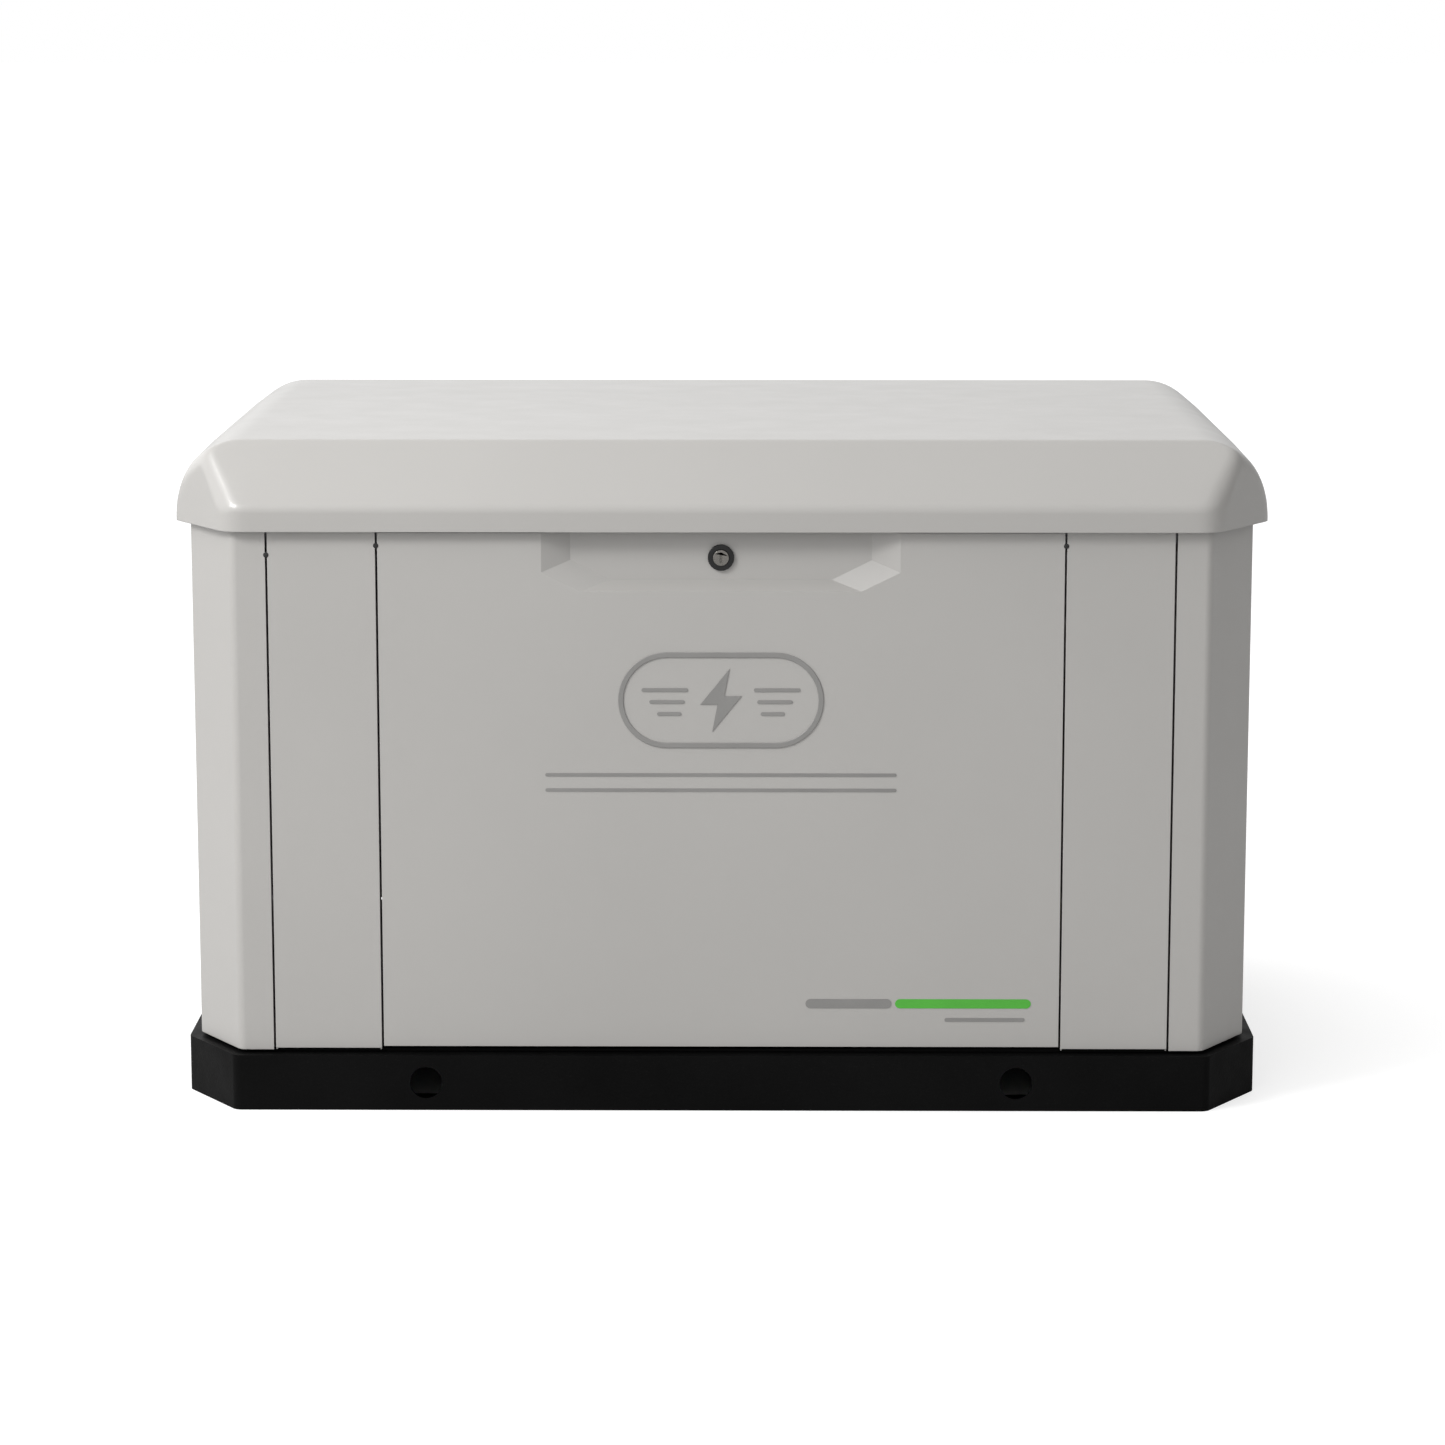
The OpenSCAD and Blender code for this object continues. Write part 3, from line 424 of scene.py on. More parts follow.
class RoofSkin:
    """The roof's outer skin: where the distance from its faces, softly joined, is zero."""
    LIP = 28 * MM                           # upright edge below the front and rear slopes
    RUN = 58 * MM                           # how far the slopes reach in
    END_X, END_Z = 86 * MM, 100 * MM        # the rounded ends' reach, across and down
    CUT_X, CUT_Y = 70.5 * MM, 110 * MM      # the corner facets' size
    CROWN_FROM, CROWN_DROP = 200 * MM, 2 * MM   # the top falls this much, from here outwards
    FRONT_SOFT, RIDGE_SOFT = 4 * MM, 2.5 * MM   # softness of slope to lip, and of slope to end
    FACET_SOFT, FACET_GROWS = 5 * MM, 13 * MM   # softness of the facets, growing over GROWS_OVER
    GROWS_OVER = 90 * MM
    FARTHEST, HALVINGS = 0.7, 34            # search along each ray, in m, and its halvings
    START_INSET, START_Y = 150 * MM, 190 * MM   # corners of the line that rays start from
    FLAT_STEP, BEND_STEP = 30 * MM, radians(3)  # a row's share of flat skin and of bent skin

    def __init__(self):
        self.low, self.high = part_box("roof_lid")
        self.x, self.y, self.top = self.high.x, self.high.y, self.high.z

    def distance(self, p):
        """How far points are outside the skin, negative inside."""
        x, y, z = np.abs(p[..., 0]), np.abs(p[..., 1]), p[..., 2]
        knee = self.low.z + self.LIP
        rise = self.top - self.CROWN_DROP - knee
        steep = (rise * rise + self.RUN ** 2) ** 0.5
        slope = ((y - self.y) * rise + (z - knee) * self.RUN) / steep
        front = soft_max(y - self.y, slope, self.FRONT_SOFT)
        flat = self.y - self.RUN - self.CROWN_FROM
        crown = self.CROWN_DROP * np.clip((y - self.CROWN_FROM) / flat, 0, 1.2)
        out = x - (self.x - self.END_X)
        up = z + crown - (self.top - self.END_Z)
        share_x, share_z = np.maximum(out, 0) / self.END_X, np.maximum(up, 0) / self.END_Z
        share = np.hypot(share_x, share_z)
        steepness = np.hypot(share_x / self.END_X, share_z / self.END_Z)
        inside = np.maximum(out - self.END_X, up - self.END_Z)
        end = np.where(share > 0, (share - 1) * share / np.maximum(steepness, 1e-9), inside)
        facet = ((x - self.x + self.CUT_X) * self.CUT_Y + (y - self.y) * self.CUT_X)
        facet /= (self.CUT_X ** 2 + self.CUT_Y ** 2) ** 0.5
        grown = np.clip((y - self.y + self.CUT_Y) / self.GROWS_OVER, 0, 1)
        softness = self.FACET_SOFT + self.FACET_GROWS * grown
        return soft_max(soft_max(front, end, self.RIDGE_SOFT), facet, softness)

    def normals(self, p):
        """Unit directions straight out of the skin at points."""
        step = 0.05 * MM
        slopes = [self.distance(p + offset) - self.distance(p - offset) for offset in step * np.eye(3)]
        n = np.stack(slopes, axis=-1)
        return n / np.linalg.norm(n, axis=-1, keepdims=True)

    def cast(self, start, direction, depth=0.0):
        """Where rays from inside reach the skin, or the surface that lies depth within it."""
        near, far = np.zeros(direction.shape[:-1]), np.full(direction.shape[:-1], self.FARTHEST)
        for _ in range(self.HALVINGS):
            middle = (near + far) / 2
            outside = self.distance(start + direction * middle[..., None]) > -depth
            far, near = np.where(outside, middle, far), np.where(outside, near, middle)
        return start + direction * near[..., None]

    def columns(self):
        """Points inside the roof and the directions seen from them, once round anticlockwise."""
        half_x, half_y = self.x - self.START_INSET, self.START_Y
        quarter = [(half_x, half_y * k / 5, 0.0) for k in range(5)]
        quarter += [(half_x, half_y, pi / 2 * k / 52) for k in range(53)]
        quarter += [(half_x * (1 - k / 7), half_y, pi / 2) for k in range(1, 8)]
        back = [(-x, y, pi - a) for x, y, a in reversed(quarter[:-1])]
        upper = quarter + back
        lower = [(-x, -y, a + pi) for x, y, a in upper]
        return np.array(upper[:-1] + lower[:-1])

    def rows(self, columns, count=60, fine=700):
        """Rows of skin points from the lip to the flat top, closest where the skin bends."""
        tilt = np.linspace(0, radians(80), fine)[:, None]
        turn = columns[None, :, 2]
        direction = np.stack([np.cos(tilt) * np.cos(turn), np.cos(tilt) * np.sin(turn),
                              np.sin(tilt) + 0 * turn], axis=-1)
        start = np.array([[x, y, self.low.z] for x, y, _ in columns])[None]
        points = self.cast(start, direction)
        normals = self.normals(points)
        length = np.linalg.norm(np.diff(points, axis=0), axis=-1)
        bend = np.arccos(np.clip((normals[1:] * normals[:-1]).sum(axis=-1), -1, 1))
        travel = np.concatenate([np.zeros((1, len(columns))),
                                 np.cumsum(length / self.FLAT_STEP + bend / self.BEND_STEP, axis=0)])
        result = np.empty((count, len(columns), 3))
        for j in range(len(columns)):
            tilts = np.interp(np.linspace(0, travel[-1, j], count), travel[:, j], tilt[:, 0])
            turn = columns[j, 2]
            direction = np.stack([np.cos(tilts) * cos(turn), np.cos(tilts) * sin(turn), np.sin(tilts)],
                                 axis=-1)
            result[:, j] = self.cast(start[0, j][None], direction)
        return result


SHEET = 2.6 * MM                        # thickness of the roof's sheet
HEM = 0.8 * MM                          # height of the ring that keeps the lip's shading flat
FLAT_TOP_RINGS = (7 * MM, 3 * MM)       # rings that keep the top's shading flat


def make_roof(skin):
    """The roof's shell, with the lip open below."""
    columns = skin.columns()
    rows = skin.rows(columns)
    rise = rows[1] - rows[0]
    hem = rows[0] + rise * (HEM / np.linalg.norm(rise, axis=-1, keepdims=True))
    x, y, turn = columns.T
    crown = [np.stack([x + reach * np.cos(turn), y + reach * np.sin(turn), np.full(len(x), skin.top)], axis=-1)
             for reach in FLAT_TOP_RINGS]
    rows = [rows[0], hem, *rows[1:], *crown]
    bm = bmesh.new()
    grid = [[bm.verts.new(p) for p in row] for row in rows]
    around = len(grid[0])
    for low, high in zip(grid, grid[1:]):
        for j in range(around):
            k = (j + 1) % around
            bm.faces.new((low[j], low[k], high[k], high[j]))
    bm.faces.new(grid[-1])
    roof = add_piece("roof_shell", bm, MATERIALS["painted_sheet"], "lid")
    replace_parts(roof, "roof_lid")
    thick = roof.modifiers.new("sheet", "SOLIDIFY")
    thick.thickness = SHEET
    thick.offset = -1


# ---------------------------------------------------------------- foam and seal

FOAM_INSET = 4 * MM                     # foam stays this far inside the roof's skin
PAD_Z = 760 * MM                        # lowest point of the roof's foam pad
PAD_WAVE = 8 * MM                       # depth of its egg-crate pattern
PAD_POCKETS_X = (0.574, 0.598)          # pockets round the prop rod's fittings
PAD_POCKETS_Y = ((0.028, 0.052), (-0.262, -0.238))
EGG_PITCH = 48 * MM                     # the foam's pattern repeats after this
STRIP_LOW, STRIP_HIGH = 706, 759.5      # the foam strips' height, in mm
DOOR_FOAM_BASE, DOOR_FOAM_SKIRT = 7 * MM, 12 * MM   # its solid back, and its thin edge
RING_INNER = [(590, -350), (597, -343), (597, 300), (560, 386),
              (-560, 386), (-597, 300), (-597, -343), (-590, -350)]
RING_OUTER = [(584, -374), (616.5, -325), (616.5, 320), (563, 400),
              (-563, 400), (-616.5, 320), (-616.5, -325), (-584, -374)]


def egg_crate(a, b):
    """Height from 0 to 1 of convoluted foam at places a and b along its two directions."""
    return 0.5 - 0.5 * np.cos(tau * a / EGG_PITCH) * np.cos(tau * b / EGG_PITCH)


def make_roof_pad(skin):
    """Convoluted acoustic foam under the roof."""
    floor_z = PAD_Z + 3 * MM
    middle = np.array([0.0, 0.0, floor_z])
    half_y = skin.cast(middle, np.array([[0.0, 1.0, 0.0]]), FOAM_INSET)[0, 1]
    y = np.linspace(-half_y, half_y, 112)
    start = np.stack([0 * y, y, 0 * y + floor_z], axis=-1)
    half_x = skin.cast(start, np.tile([1.0, 0.0, 0.0], (len(y), 1)), FOAM_INSET)[:, 0]
    x = half_x[:, None] * np.linspace(-1, 1, 172)[None, :]
    yy = np.repeat(y[:, None], x.shape[1], axis=1)
    under = np.stack([x, yy, np.full_like(x, PAD_Z)], axis=-1)
    upper = skin.cast(under, np.tile([0.0, 0.0, 1.0], x.shape + (1,)), FOAM_INSET)
    under[..., 2] = np.minimum(PAD_Z + PAD_WAVE * egg_crate(x, yy), upper[..., 2] - 0.5 * MM)
    centre_x, centre_y = (x[1:, 1:] + x[:-1, :-1]) / 2, (yy[1:, 1:] + yy[:-1, :-1]) / 2
    keep = np.ones(centre_x.shape, bool)
    inside_x = (centre_x > PAD_POCKETS_X[0]) & (centre_x < PAD_POCKETS_X[1])
    for low, high in PAD_POCKETS_Y:
        keep &= ~(inside_x & (centre_y > low) & (centre_y < high))
    bm = bmesh.new()
    add_grid_slab(bm, under, upper, keep)
    pad = shown("lid_foam_pad", bm, MATERIALS["foam"], "lid", 50)
    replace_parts(pad, "lid_liner")


def sweep_ring(profile, steps, skin=None, wave=0.0):
    """Rings of a profile of (share across, height in mm) carried round the top frame."""
    rings = []
    for i in range(8):
        j = (i + 1) % 8
        ends = [[np.array(c, float) for c in (RING_INNER[k], RING_OUTER[k])] for k in (i, j)]
        length = np.linalg.norm(ends[1][0] - ends[0][0])
        count = max(2, int(length / steps))
        for s in np.arange(count) / count:
            inner, outer = [ends[0][k] * (1 - s) + ends[1][k] * s for k in (0, 1)]
            ripple = wave * sin(tau * length * s * MM / EGG_PITCH)
            ring = []
            for share, z in profile:
                up = (z - STRIP_LOW) / (STRIP_HIGH - STRIP_LOW)
                bulge = ripple * sin(pi * up) if share < 0.1 else 0.0
                x, y = inner + (outer - inner) * (share + bulge)
                ring.append((x * MM, y * MM, z * MM))
            ring = np.array(ring)
            if skin:
                proud = np.maximum(skin.distance(ring) + FOAM_INSET, 0)
                ring = ring - skin.normals(ring) * proud[:, None]
            rings.append([tuple(p) for p in ring])
    return rings


def make_lid_edge(skin):
    """Foam strips inside the roof's walls, and the bulb seal that closes on the top frame."""
    strip = [(0.08, STRIP_LOW), (0.0, 712), (0.0, 725), (0.0, 740), (0.0, 754), (0.08, STRIP_HIGH),
             (0.5, STRIP_HIGH), (0.96, STRIP_HIGH), (0.96, 745), (0.96, 730), (0.96, STRIP_LOW)]
    bm = bmesh.new()
    join_rings(bm, sweep_ring(strip, 8, skin, 0.10), loop=True)
    strips = shown("lid_foam_strips", bm, MATERIALS["foam"], "lid", 50)
    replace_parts(strips, "lid_liner")
    bulb = [(0.5 + 0.36 * cos(pi * k / 12), 702.6 - 6.2 * sin(pi * k / 12)) for k in range(13)]
    foot = [(0.10, 703.2), (0.05, 704.2), (0.05, 705.5), (0.95, 705.5)]
    seal = [(0.95, 704.2), (0.90, 703.2)] + bulb + foot
    bm = bmesh.new()
    join_rings(bm, sweep_ring(seal, 60), loop=True)
    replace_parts(shown("lid_bulb_seal", bm, MATERIALS["rubber"], "lid", 40), "lid_seal")


def make_door_foam():
    """Convoluted foam on the inside of the door."""
    low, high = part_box("panel_liner")
    x, z = np.meshgrid(np.linspace(low.x, high.x, 128), np.linspace(low.z, high.z, 84))
    edge = np.minimum.reduce([x - low.x, high.x - x, z - low.z, high.z - z])
    skirt = np.clip(edge / DOOR_FOAM_SKIRT, 0, 1) ** 0.5
    wave = (high.y - low.y - DOOR_FOAM_BASE) * skirt * egg_crate(x, z)
    behind = np.stack([x, low.y + DOOR_FOAM_BASE + wave, z], axis=-1)
    front = np.stack([x, np.full_like(x, low.y), z], axis=-1)
    bm = bmesh.new()
    add_grid_slab(bm, front, behind, np.ones((x.shape[0] - 1, x.shape[1] - 1), bool))
    pad = shown("door_foam_pad", bm, MATERIALS["foam"], "door", 50)
    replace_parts(pad, "panel_liner")


# ---------------------------------------------------------------- door details

DOOR_Y = -413.0                         # face of the door, in mm
DOOR_FOOT = DOOR_Y + 0.02               # where trim starts, just inside that face
RIM_WIDTH, RIM_HEIGHT, RIM_ROUND = 6.0, 1.5, 0.4
SPARK = [(10, 37), (-24, -5), (-4, -5), (-10, -37), (24, 5), (4, 5)]
BAR_HALF = 2.2                          # half the height of the badge's bars, in mm


def stadium(half_x, half_z, inset, middle_z, y, arc=24):
    """A flat ring of points with round ends, standing on the door at depth y, in mm."""
    r, run = half_z - inset, half_x - half_z
    ends = [(run, -pi / 2), (-run, pi / 2)]
    return [Vector((cx + r * cos(a0 + pi * k / arc), y, middle_z + r * sin(a0 + pi * k / arc))) * MM
            for cx, a0 in ends for k in range(arc + 1)]


def add_plate(bm, outline, y0, y1):
    """A thin plate from a closed outline of (x, z) in mm, raised from y0 to y1."""
    join_rings(bm, [[Vector((x, y, z)) * MM for x, z in outline] for y in (y0, y1)])


def bar(x0, x1, z0, z1, arc=8):
    """The outline of a slim bar with round ends."""
    r, z = (z1 - z0) / 2, (z0 + z1) / 2
    ends = [(x1 - r, -pi / 2), (x0 + r, pi / 2)]
    return [(cx + r * cos(a0 + pi * k / arc), z + r * sin(a0 + pi * k / arc))
            for cx, a0 in ends for k in range(arc + 1)]


def make_badge():
    """A plain round-ended badge: a raised rim round a spark mark between plain bars."""
    low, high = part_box("badge")
    half_x, half_z, z = (high.x - low.x) / 2 / MM, (high.z - low.z) / 2 / MM, (high.z + low.z) / 2 / MM
    shoulder, crest = DOOR_Y - RIM_HEIGHT + RIM_ROUND, DOOR_Y - RIM_HEIGHT
    rim = [(0.0, DOOR_FOOT), (0.0, shoulder), (0.5, crest), (RIM_WIDTH - 0.5, crest),
           (RIM_WIDTH, shoulder), (RIM_WIDTH, DOOR_FOOT)]
    bm = bmesh.new()
    join_rings(bm, [stadium(half_x, half_z, inset, z, y) for inset, y in rim], loop=True)
    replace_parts(shown("badge_rim", bm, MATERIALS["badge_grey"], "door"), "badge")
    bm = bmesh.new()
    add_plate(bm, [(x, z + dz) for x, dz in SPARK], DOOR_FOOT, DOOR_Y - 1.0)
    for side in (-1, 1):
        for k in range(3):
            x0, x1 = sorted((side * (38 + 4 * k), side * (92 - 9 * k)))
            middle = z + 12 - 14 * k
            add_plate(bm, bar(x0, x1, middle - BAR_HALF, middle + BAR_HALF), DOOR_FOOT, DOOR_Y - 0.8)
    round_edges(shown("badge_mark", bm, MATERIALS["badge_grey"], "door"), 0.25 * MM, 2)


def make_door_trim():
    """Thin plain trim bars where the door is decorated."""
    for name, material, outlines in (
            ("trim_lines", MATERIALS["badge_grey"], [(-204, 204, 397, 401), (-204, 204, 379, 383)]),
            ("trim_bar_grey", MATERIALS["badge_grey"], [(99, 200, 121, 132), (262, 356, 105, 109.5)]),
            ("trim_bar_green", GREEN_INK, [(204, 363, 121, 132)])):
        bm = bmesh.new()
        for box in outlines:
            add_plate(bm, bar(*box), DOOR_FOOT, DOOR_Y - 0.5)
        shown(name, bm, material, "door")


def make_bumpers():
    """Small rubber buffers in the seams below the roof."""
    bm = bmesh.new()
    for x, z in ((-397.3, 667), (397.3, 667), (-524, 656)):
        add_lathe(bm, Vector((x, DOOR_Y + 2.0, z)) * MM, (0, -1, 0),
                  [(3.2, -2), (3.4, 1.6), (2.8, 2.6), (1.6, 3.0)], 20)
    shown("seam_buffers", bm, MATERIALS["rubber"], "enclosure")


# ---------------------------------------------------------------- hoses and leads

HOSE_R, LEAD_R = 10.8, 4.8              # in mm, as are the routes
FUEL_ROUTE = [(-440, 300, 311), (-440, 300, 325), (-440, 300, 350), (-425, 270, 420), (-340, 200, 465),
              (-220, 120, 480), (-120, 50, 492), (-50, 0, 500), (-15, 0, 500), (19, 0, 500)]
RED_ROUTE = [(-140, -260, 297), (-140, -260, 308), (-140, -258, 322), (-110, -245, 338),
             (-60, -215, 322), (-12, -175, 295), (0, -165, 272), (0, -165, 248)]
BLACK_ROUTE = [(-340, -260, 297), (-340, -260, 308), (-340, -258, 322), (-325, -215, 332),
               (-300, -172, 305), (-276, -158, 240), (-270, -158, 180), (-270, -156, 142),
               (-270, -148, 125), (-270, -139, 120), (-270, -132, 120)]


def add_band(bm, at, direction, r, width, thick=1.2, sides=48):
    """A thin band round an axis: a clamp, strap or rolled seam."""
    place = Matrix.Translation(at) @ along(direction)
    profile = [(r, -width / 2), (r, width / 2), (r + thick, width / 2 - 0.3), (r + thick, 0.3 - width / 2)]
    join_rings(bm, [[place @ (Vector((a * cos(t), a * sin(t), h)) * MM) for a, h in profile]
                    for t in (tau * k / sides for k in range(sides))], loop=True)


def make_hoses():
    """The fuel hose with its clamps, and the two battery leads."""
    bm = bmesh.new()
    add_tube(bm, FUEL_ROUTE, HOSE_R, 24)
    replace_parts(shown("fuel_hose_tube", bm, MATERIALS["rubber"], "enclosure"), "fuel_hose")
    bm = bmesh.new()
    for at, way in (((-440, 300, 319), (0, 0, 1)), ((8, 0, 500), (1, 0, 0))):
        add_band(bm, Vector(at) * MM, way, HOSE_R + 0.1, 9)
        side = Vector((0, 14.5, 0))
        add_lathe(bm, (Vector(at) + side - Vector(way) * 5) * MM, way, [(3.2, 0), (3.2, 10), (2.4, 11)], 12)
    shown("hose_clamps", bm, MATERIALS["zinc_plate"], "enclosure")
    for name, route, material in (("battery_lead_red", RED_ROUTE, RED_RUBBER),
                                  ("battery_lead_black", BLACK_ROUTE, MATERIALS["rubber"])):
        bm = bmesh.new()
        add_tube(bm, route, LEAD_R, 18)
        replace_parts(shown(name, bm, material, "enclosure"), "battery_cables")


# ---------------------------------------------------------------- fasteners and fittings

# Places in mm, as in the CAD.
CRANK_Z = 265
BANKS = ((35, 45), (75, -45))           # each cylinder bank's X and its lean in degrees
CONTROL_TOP = 600
BUTTON_X, LAMP_X, CONTROL_ROWS = -490, -462, (-230, -190, -150)
TERMINALS_X, TERMINAL_Y = (-340, -140), -260
MUFFLER_X, MUFFLER_Z, MUFFLER_R = 400, 340, 80


def on_bank(i, x, y, z):
    """A place on a cylinder bank, in mm, with z along the cylinder."""
    bank_x, lean = BANKS[i][0], radians(BANKS[i][1])
    return Vector((bank_x + x, y * cos(lean) - z * sin(lean), CRANK_Z + y * sin(lean) + z * cos(lean)))


def bank_way(i):
    """The direction up a cylinder bank."""
    return on_bank(i, 0, 0, 1) - on_bank(i, 0, 0, 0)


def make_screws():
    """Screws that hold the covers, the housings and the panels."""
    bm = bmesh.new()
    for i in (0, 1):
        for x, y in ((-52.5, 0), (52.5, 0), (-52.5, -32), (52.5, -32), (-52.5, 32), (52.5, 32)):
            add_screw(bm, on_bank(i, x, y, 240) * MM, bank_way(i), 5.5, washer=False)
    for count, circle, x, side, across in ((4, 110, -372, -1, 10), (8, 148, 238, 1, 8)):
        for k in range(count):
            a = tau * (k + 0.5) / count
            add_screw(bm, Vector((x, circle * cos(a), CRANK_Z + circle * sin(a))) * MM, (side, 0, 0), across)
    for x in (-330, 110):
        for y in (-110, 110):
            add_screw(bm, Vector((x, y, 131)) * MM, (0, 0, 1), 13)
    shown("engine_screws", bm, MATERIALS["zinc_plate"], "enclosure")
    bm = bmesh.new()
    for side in (-1, 1):
        for z in (110, 250, 390, 530, 640):
            for y in (-258, 258):
                add_pan_screw(bm, Vector((side * 621.5, y, z)) * MM, (side, 0, 0))
            add_pan_screw(bm, Vector((side * 510, 413, z)) * MM, (0, 1, 0))
        for x in (-50, 0, 50):
            add_pan_screw(bm, Vector((side * 380 + x, 415, 652)) * MM, (0, 1, 0))
    shown("panel_screws", bm, MATERIALS["zinc_plate"], "enclosure")


def rounded_block(bm, low, high, cut):
    """A block with its upright corners and its top edge cut round, in mm."""
    x0, y0, z0 = low
    x1, y1, z1 = high

    def ring(inset, z):
        r = cut
        corners = [(x1 - r, y1 - r, 0), (x0 + r, y1 - r, 1), (x0 + r, y0 + r, 2), (x1 - r, y0 + r, 3)]
        return [Vector((cx + (r - inset) * cos(pi / 2 * (q + k / 6)),
                        cy + (r - inset) * sin(pi / 2 * (q + k / 6)), z)) * MM
                for cx, cy, q in corners for k in range(7)]
    soft = min(cut, 2.0) * 0.8
    join_rings(bm, [ring(0, z0), ring(0, z1 - soft), ring(soft * 0.3, z1 - soft * 0.3), ring(soft, z1)])


def make_ignition():
    """Coil on the blower housing, with a lead and boot to each spark plug."""
    bm = bmesh.new()
    rounded_block(bm, (182, -30, 421), (222, 30, 452), 5)
    for i, y in ((0, -18), (1, 18)):
        plug = on_bank(i, 62, 0, 212)
        add_lathe(bm, plug * MM, (1, 0, 0),
                  [(8, -2), (10, 0), (10, 5), (8, 7), (8, 24), (5, 30), (3.6, 32)], 24)
        start = plug + Vector((30, 0, 0))
        far = 1 if i else -1
        add_tube(bm, [start, start + Vector((14, 0, 4)), (172 + 8 * i, far * 120, 448),
                      (190, far * 70, 468), (202, y, 466), (202, y, 450)], 3.6, 14, 10)
    shown("ignition_coil_and_leads", bm, MATERIALS["black_plastic"], "enclosure")


def make_air_box_fittings():
    """Ribs and clips on the air filter's box."""
    bm = bmesh.new()
    for k in range(-3, 4):
        rounded_block(bm, (50 + 26 * k - 4, -88, 634), (50 + 26 * k + 4, 88, 637.5), 3.9)
    shown("air_box_ribs", bm, MATERIALS["black_plastic"], "enclosure")
    bm = bmesh.new()
    for side in (-1, 1):
        for x in (-15, 115):
            add_tube(bm, [(x - 9, side * 112, 585), (x - 9, side * 118, 600), (x - 9, side * 115, 622),
                          (x - 7, side * 104, 636), (x + 7, side * 104, 636), (x + 9, side * 115, 622),
                          (x + 9, side * 118, 600), (x + 9, side * 112, 585)], 1.7, 10, 6)
    shown("air_box_clips", bm, MATERIALS["zinc_plate"], "enclosure")


def make_battery_fittings():
    """Vent strips, the hold-down and the terminal clamps."""
    bm = bmesh.new()
    for y0 in (-232, -320):
        rounded_block(bm, (-345, y0, 279.5), (-255, y0 + 28, 286), 8)
        rounded_block(bm, (-225, y0, 279.5), (-135, y0 + 28, 286), 8)
    shown("battery_vents", bm, MATERIALS["black_plastic"], "enclosure")
    bm = bmesh.new()
    rounded_block(bm, (-250, -352, 280), (-230, -168, 284), 3)
    for y in (-346, -174):
        add_screw(bm, Vector((-240, y, 284)) * MM, (0, 0, 1), 10)
    for x in TERMINALS_X:
        add_band(bm, Vector((x, TERMINAL_Y, 290)) * MM, (0, 0, 1), 8.1, 9, 3.0, 32)
        rounded_block(bm, (x + 9, TERMINAL_Y - 5, 286), (x + 22, TERMINAL_Y + 5, 294), 2)
        add_lathe(bm, Vector((x, TERMINAL_Y, 296)) * MM, (0, 0, 1), [(5.6, -1), (5.6, 6), (5.2, 9)], 20)
    shown("battery_fittings", bm, MATERIALS["zinc_plate"], "enclosure")


def make_control_face():
    """Bezels, lamps and a small display on the controller's top."""
    bm = bmesh.new()
    for y in CONTROL_ROWS:
        add_band(bm, Vector((BUTTON_X, y, CONTROL_TOP + 0.8)) * MM, (0, 0, 1), 9.6, 2.4, 3.2)
    rounded_block(bm, (-582, -196, CONTROL_TOP - 0.5), (-518, -96, CONTROL_TOP + 3), 5)
    shown("control_bezels", bm, MATERIALS["lock_black"], "enclosure")
    bm = bmesh.new()
    rounded_block(bm, (-575, -188, CONTROL_TOP + 2.5), (-525, -104, CONTROL_TOP + 3.6), 3)
    shown("control_display", bm, DISPLAY, "enclosure")
    lamps = (("lamp_green", "button_green"), ("lamp_yellow", "yellow_plastic"), ("lamp_red", "button_red"))
    for (name, slot), y in zip(lamps, CONTROL_ROWS):
        bm = bmesh.new()
        add_lathe(bm, Vector((LAMP_X, y, CONTROL_TOP)) * MM, (0, 0, 1),
                  [(4.6, -SUNK), (4.6, 0.8), (3.2, 1.2), (3.0, 2.4), (2.2, 3.6), (1.0, 4.1)], 20)
        shown(name, bm, MATERIALS[slot], "enclosure")


def make_muffler_bands():
    """Straps and rolled seams round the muffler."""
    bm = bmesh.new()
    lug_x = MUFFLER_X - MUFFLER_R - 7
    for y in (-140, 140):
        add_band(bm, Vector((MUFFLER_X, y, MUFFLER_Z)) * MM, (0, 1, 0), MUFFLER_R + 0.1, 18, 1.6, 64)
        rounded_block(bm, (lug_x, y - 7, MUFFLER_Z - 6), (lug_x + 7, y + 7, MUFFLER_Z + 6), 2)
        add_screw(bm, Vector((lug_x, y, MUFFLER_Z)) * MM, (-1, 0, 0), 8)
    for y in (-70, 0, 70):
        add_band(bm, Vector((MUFFLER_X, y, MUFFLER_Z)) * MM, (0, 1, 0), MUFFLER_R - 0.4, 6, 1.6, 64)
    shown("muffler_bands", bm, MATERIALS["exhaust_steel"], "enclosure")


# ---------------------------------------------------------------- scene

CAMERA_AT, CAMERA_TILT, CAMERA_TURN, LENS = (0.038, -5.230, 1.312), 79.98, 0.43, 105.2
LIGHTS_AIM = (0, 0, 0.5)
SKY_LEAN = (-0.87, -0.05, 0.22)         # the surroundings grow brighter this way
BRIGHTEST_SKY = 1.84
FLOOR_HALF = (60, 60)
SHADED_HALF = (0.56, 0.40)              # floor under the base, which stays dark in its holes
FLOOR_GLOW = 0.6                        # seen by the camera only, so that the floor meets the sky


def make_camera():
    """The photograph's viewpoint, solved from its perspective."""
    camera = bpy.data.objects.new("camera", bpy.data.cameras.new("camera"))
    bpy.context.scene.collection.objects.link(camera)
    camera.data.sensor_width = 36
    camera.data.lens = LENS
    camera.location = CAMERA_AT
    camera.rotation_euler = (radians(CAMERA_TILT), 0, radians(CAMERA_TURN))
    camera.data.clip_end = 100
    bpy.context.scene.camera = camera


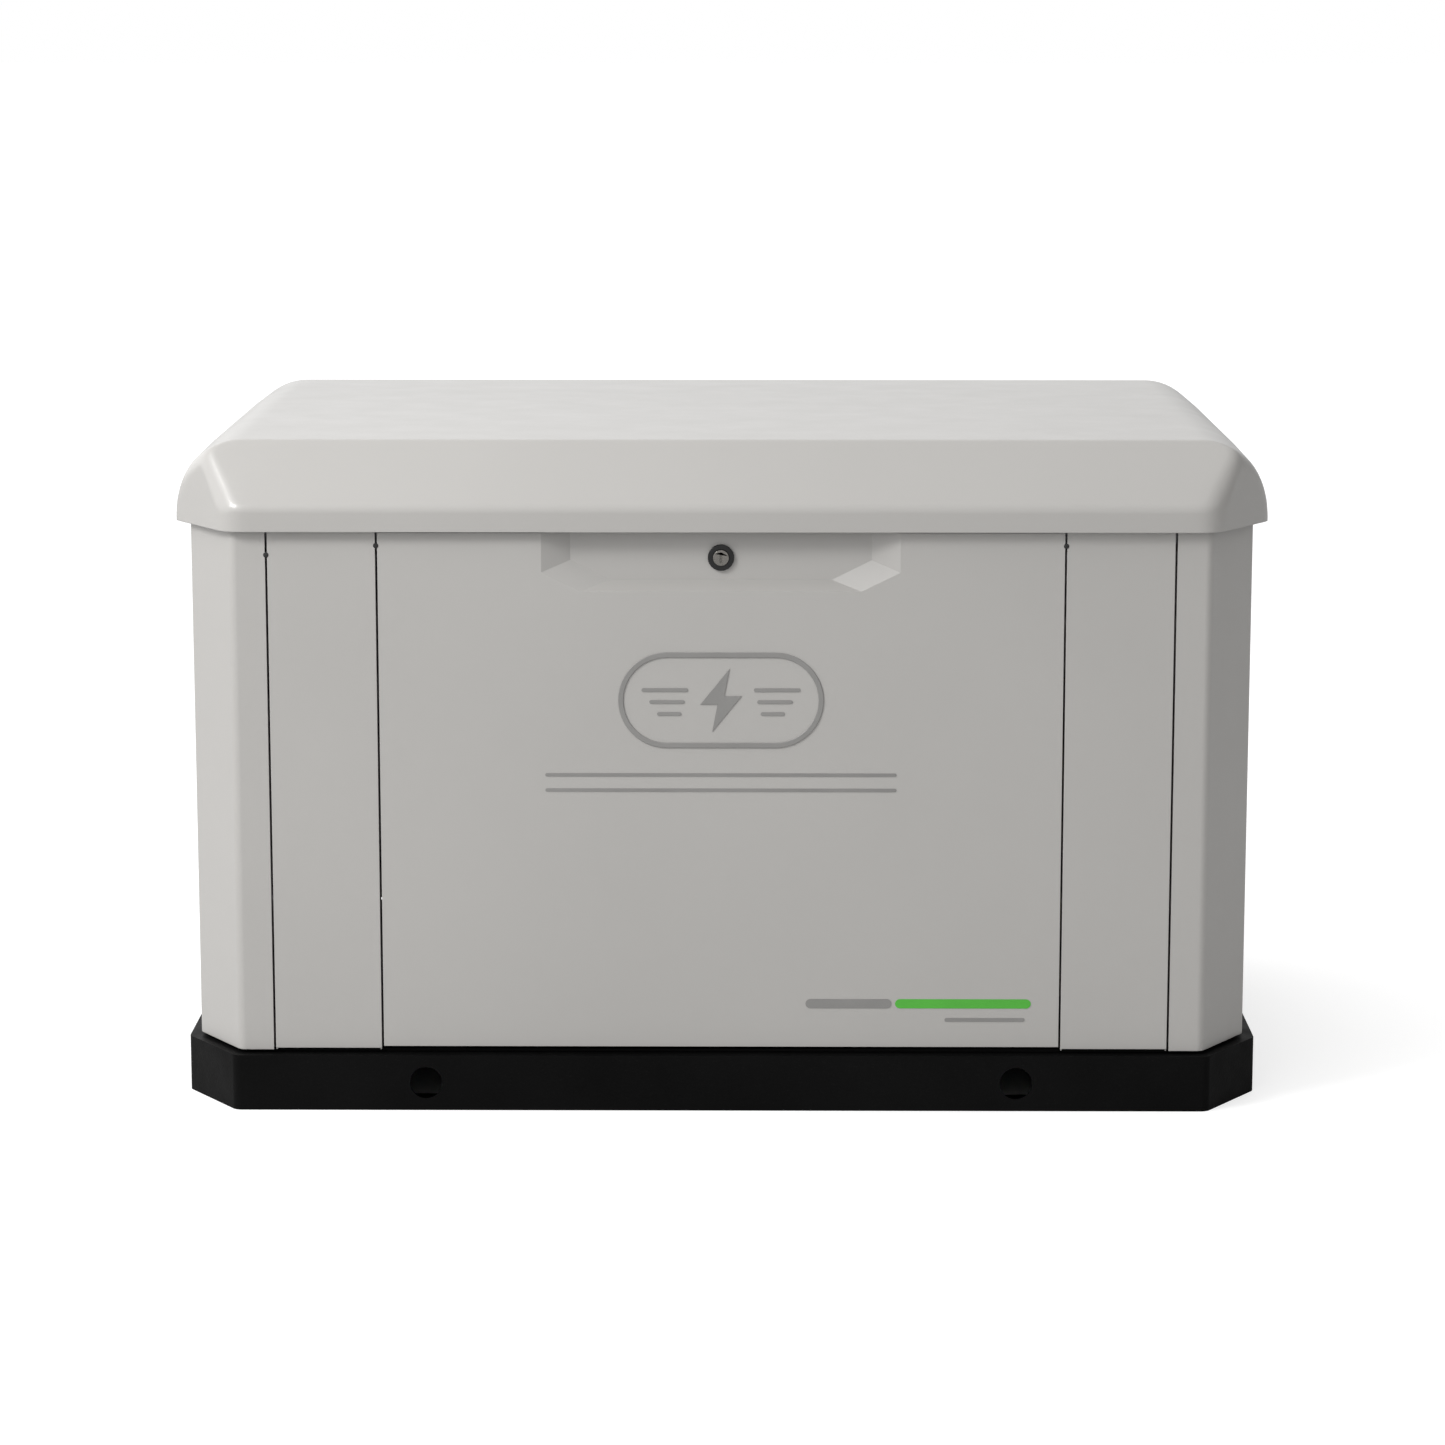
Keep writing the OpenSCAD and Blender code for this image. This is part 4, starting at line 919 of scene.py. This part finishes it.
def add_light(name, place, size, power):
    """A soft white rectangular light, aimed at the middle of the cabinet."""
    light = bpy.data.lights.new(name, "AREA")
    light.shape = "RECTANGLE"
    light.size, light.size_y = size
    light.energy = power
    lamp = bpy.data.objects.new(name, light)
    lamp.location = place
    lamp.rotation_euler = (Vector(LIGHTS_AIM) - Vector(place)).to_track_quat("-Z", "Y").to_euler()
    bpy.context.scene.collection.objects.link(lamp)


def make_studio():
    """White surroundings that brighten to the left and above, and two soft lights."""
    world = bpy.data.worlds.new("studio")
    world.use_nodes = True
    tree = world.node_tree
    background = tree.nodes["Background"]
    way = tree.nodes.new("ShaderNodeTexCoord").outputs["Generated"]
    lean = tree.nodes.new("ShaderNodeVectorMath")
    lean.operation = "DOT_PRODUCT"
    lean.inputs[1].default_value = SKY_LEAN
    tree.links.new(way, lean.inputs[0])
    lit = map_range(tree, lean.outputs["Value"], 0.0, BRIGHTEST_SKY, -1, 1)
    seen = tree.nodes.new("ShaderNodeLightPath")
    strength = tree.nodes.new("ShaderNodeMix")
    tree.links.new(seen.outputs["Is Camera Ray"], strength.inputs[0])
    tree.links.new(lit, strength.inputs[2])
    strength.inputs[3].default_value = 1.0
    tree.links.new(strength.outputs[0], background.inputs["Strength"])
    background.inputs["Color"].default_value = (1, 1, 1, 1)
    bpy.context.scene.world = world
    bpy.context.scene.view_settings.view_transform = "Standard"
    add_light("key_left", (-1.9, -1.9, 2.3), (0.8, 0.8), 47)
    add_light("back_top", (-0.3, 1.7, 3.1), (2.6, 0.16), 4)


def make_floor():
    """A pale floor, with its own material where the base shades it."""
    bm = bmesh.new()
    corners = ((-1, -1), (1, -1), (1, 1), (-1, 1))
    outer, inner = [[bm.verts.new((x * half_x, y * half_y, 0)) for x, y in corners]
                    for half_x, half_y in (FLOOR_HALF, SHADED_HALF)]
    bm.faces.new(inner).material_index = 1
    for k in range(4):
        bm.faces.new((outer[k], outer[(k + 1) % 4], inner[(k + 1) % 4], inner[k]))
    mesh = bpy.data.meshes.new("floor")
    bm.to_mesh(mesh)
    bm.free()
    floor = bpy.data.objects.new("floor", mesh)
    bpy.context.scene.collection.objects.link(floor)
    for name, glow in (("floor", FLOOR_GLOW), ("floor_under_base", 0.0)):
        n = Nodes(name)
        shade = n.two_colours(n.ranged(n.noise(1.5), 0, 1), (0.49, 0.49, 0.49, 1), (0.51, 0.51, 0.51, 1))
        gloss, bumps = n.ranged(n.noise(4), 0.7, 0.8), n.bumped(n.noise(200), 0.02, 0.0005)
        mesh.materials.append(n.finish(shade, gloss, bumps))
        seen = n.tree.nodes.new("ShaderNodeLightPath").outputs["Is Camera Ray"]
        n.shader.inputs["Emission Color"].default_value = (1, 1, 1, 1)
        n.link(n.ranged(seen, 0, glow, 0, 1), n.shader.inputs["Emission Strength"])


make_camera()
make_studio()
make_floor()
roof_skin = RoofSkin()
make_roof(roof_skin)
make_roof_pad(roof_skin)
make_lid_edge(roof_skin)
make_door_foam()
make_badge()
make_door_trim()
make_bumpers()
make_hoses()
make_screws()
make_ignition()
make_air_box_fittings()
make_battery_fittings()
make_control_face()
make_muffler_bands()

# How far, in mm, the edges are rounded on the CAD nodes that are shown finished.
EDGE_WIDTHS = {
    "base_frame": 1.6, "floor_pan": 0.8, "post_front_left": 0.7, "post_front_right": 0.7,
    "posts_rear": 0.7, "front_strips": 0.8, "front_panel": 0.9,
    "battery": 3.0, "air_box": 2.5, "valve_covers": 2.5, "muffler": 1.5, "starter_motor": 1.5,
    "gas_regulator": 2.0, "oil_filter": 3.0, "engine_rails": 1.0, "lid_catch": 0.6, "prop_cradle": 0.5,
    "button_auto": 1.0, "button_off": 1.0, "button_manual": 1.0, "breaker_toggle": 1.0,
    "lock_housing": 0.8, "lock_plug": 0.5, "lock_cam": 0.5,
}
FLAT_CHAMFER_ANGLE = 12                 # keeps the door's shallow recess crisp, in degrees
# Nodes that pieces above stand for.
REPLACED = {"roof_lid", "lid_liner", "lid_seal", "panel_liner", "badge", "fuel_hose", "battery_cables"}
for node_name in NODES:
    if node_name in REPLACED:
        continue
    if node_name in EDGE_WIDTHS:
        finished(node_name, EDGE_WIDTHS[node_name] * MM,
                 angle=FLAT_CHAMFER_ANGLE if node_name == "front_panel" else 30)
    else:
        keep_with_material(node_name)
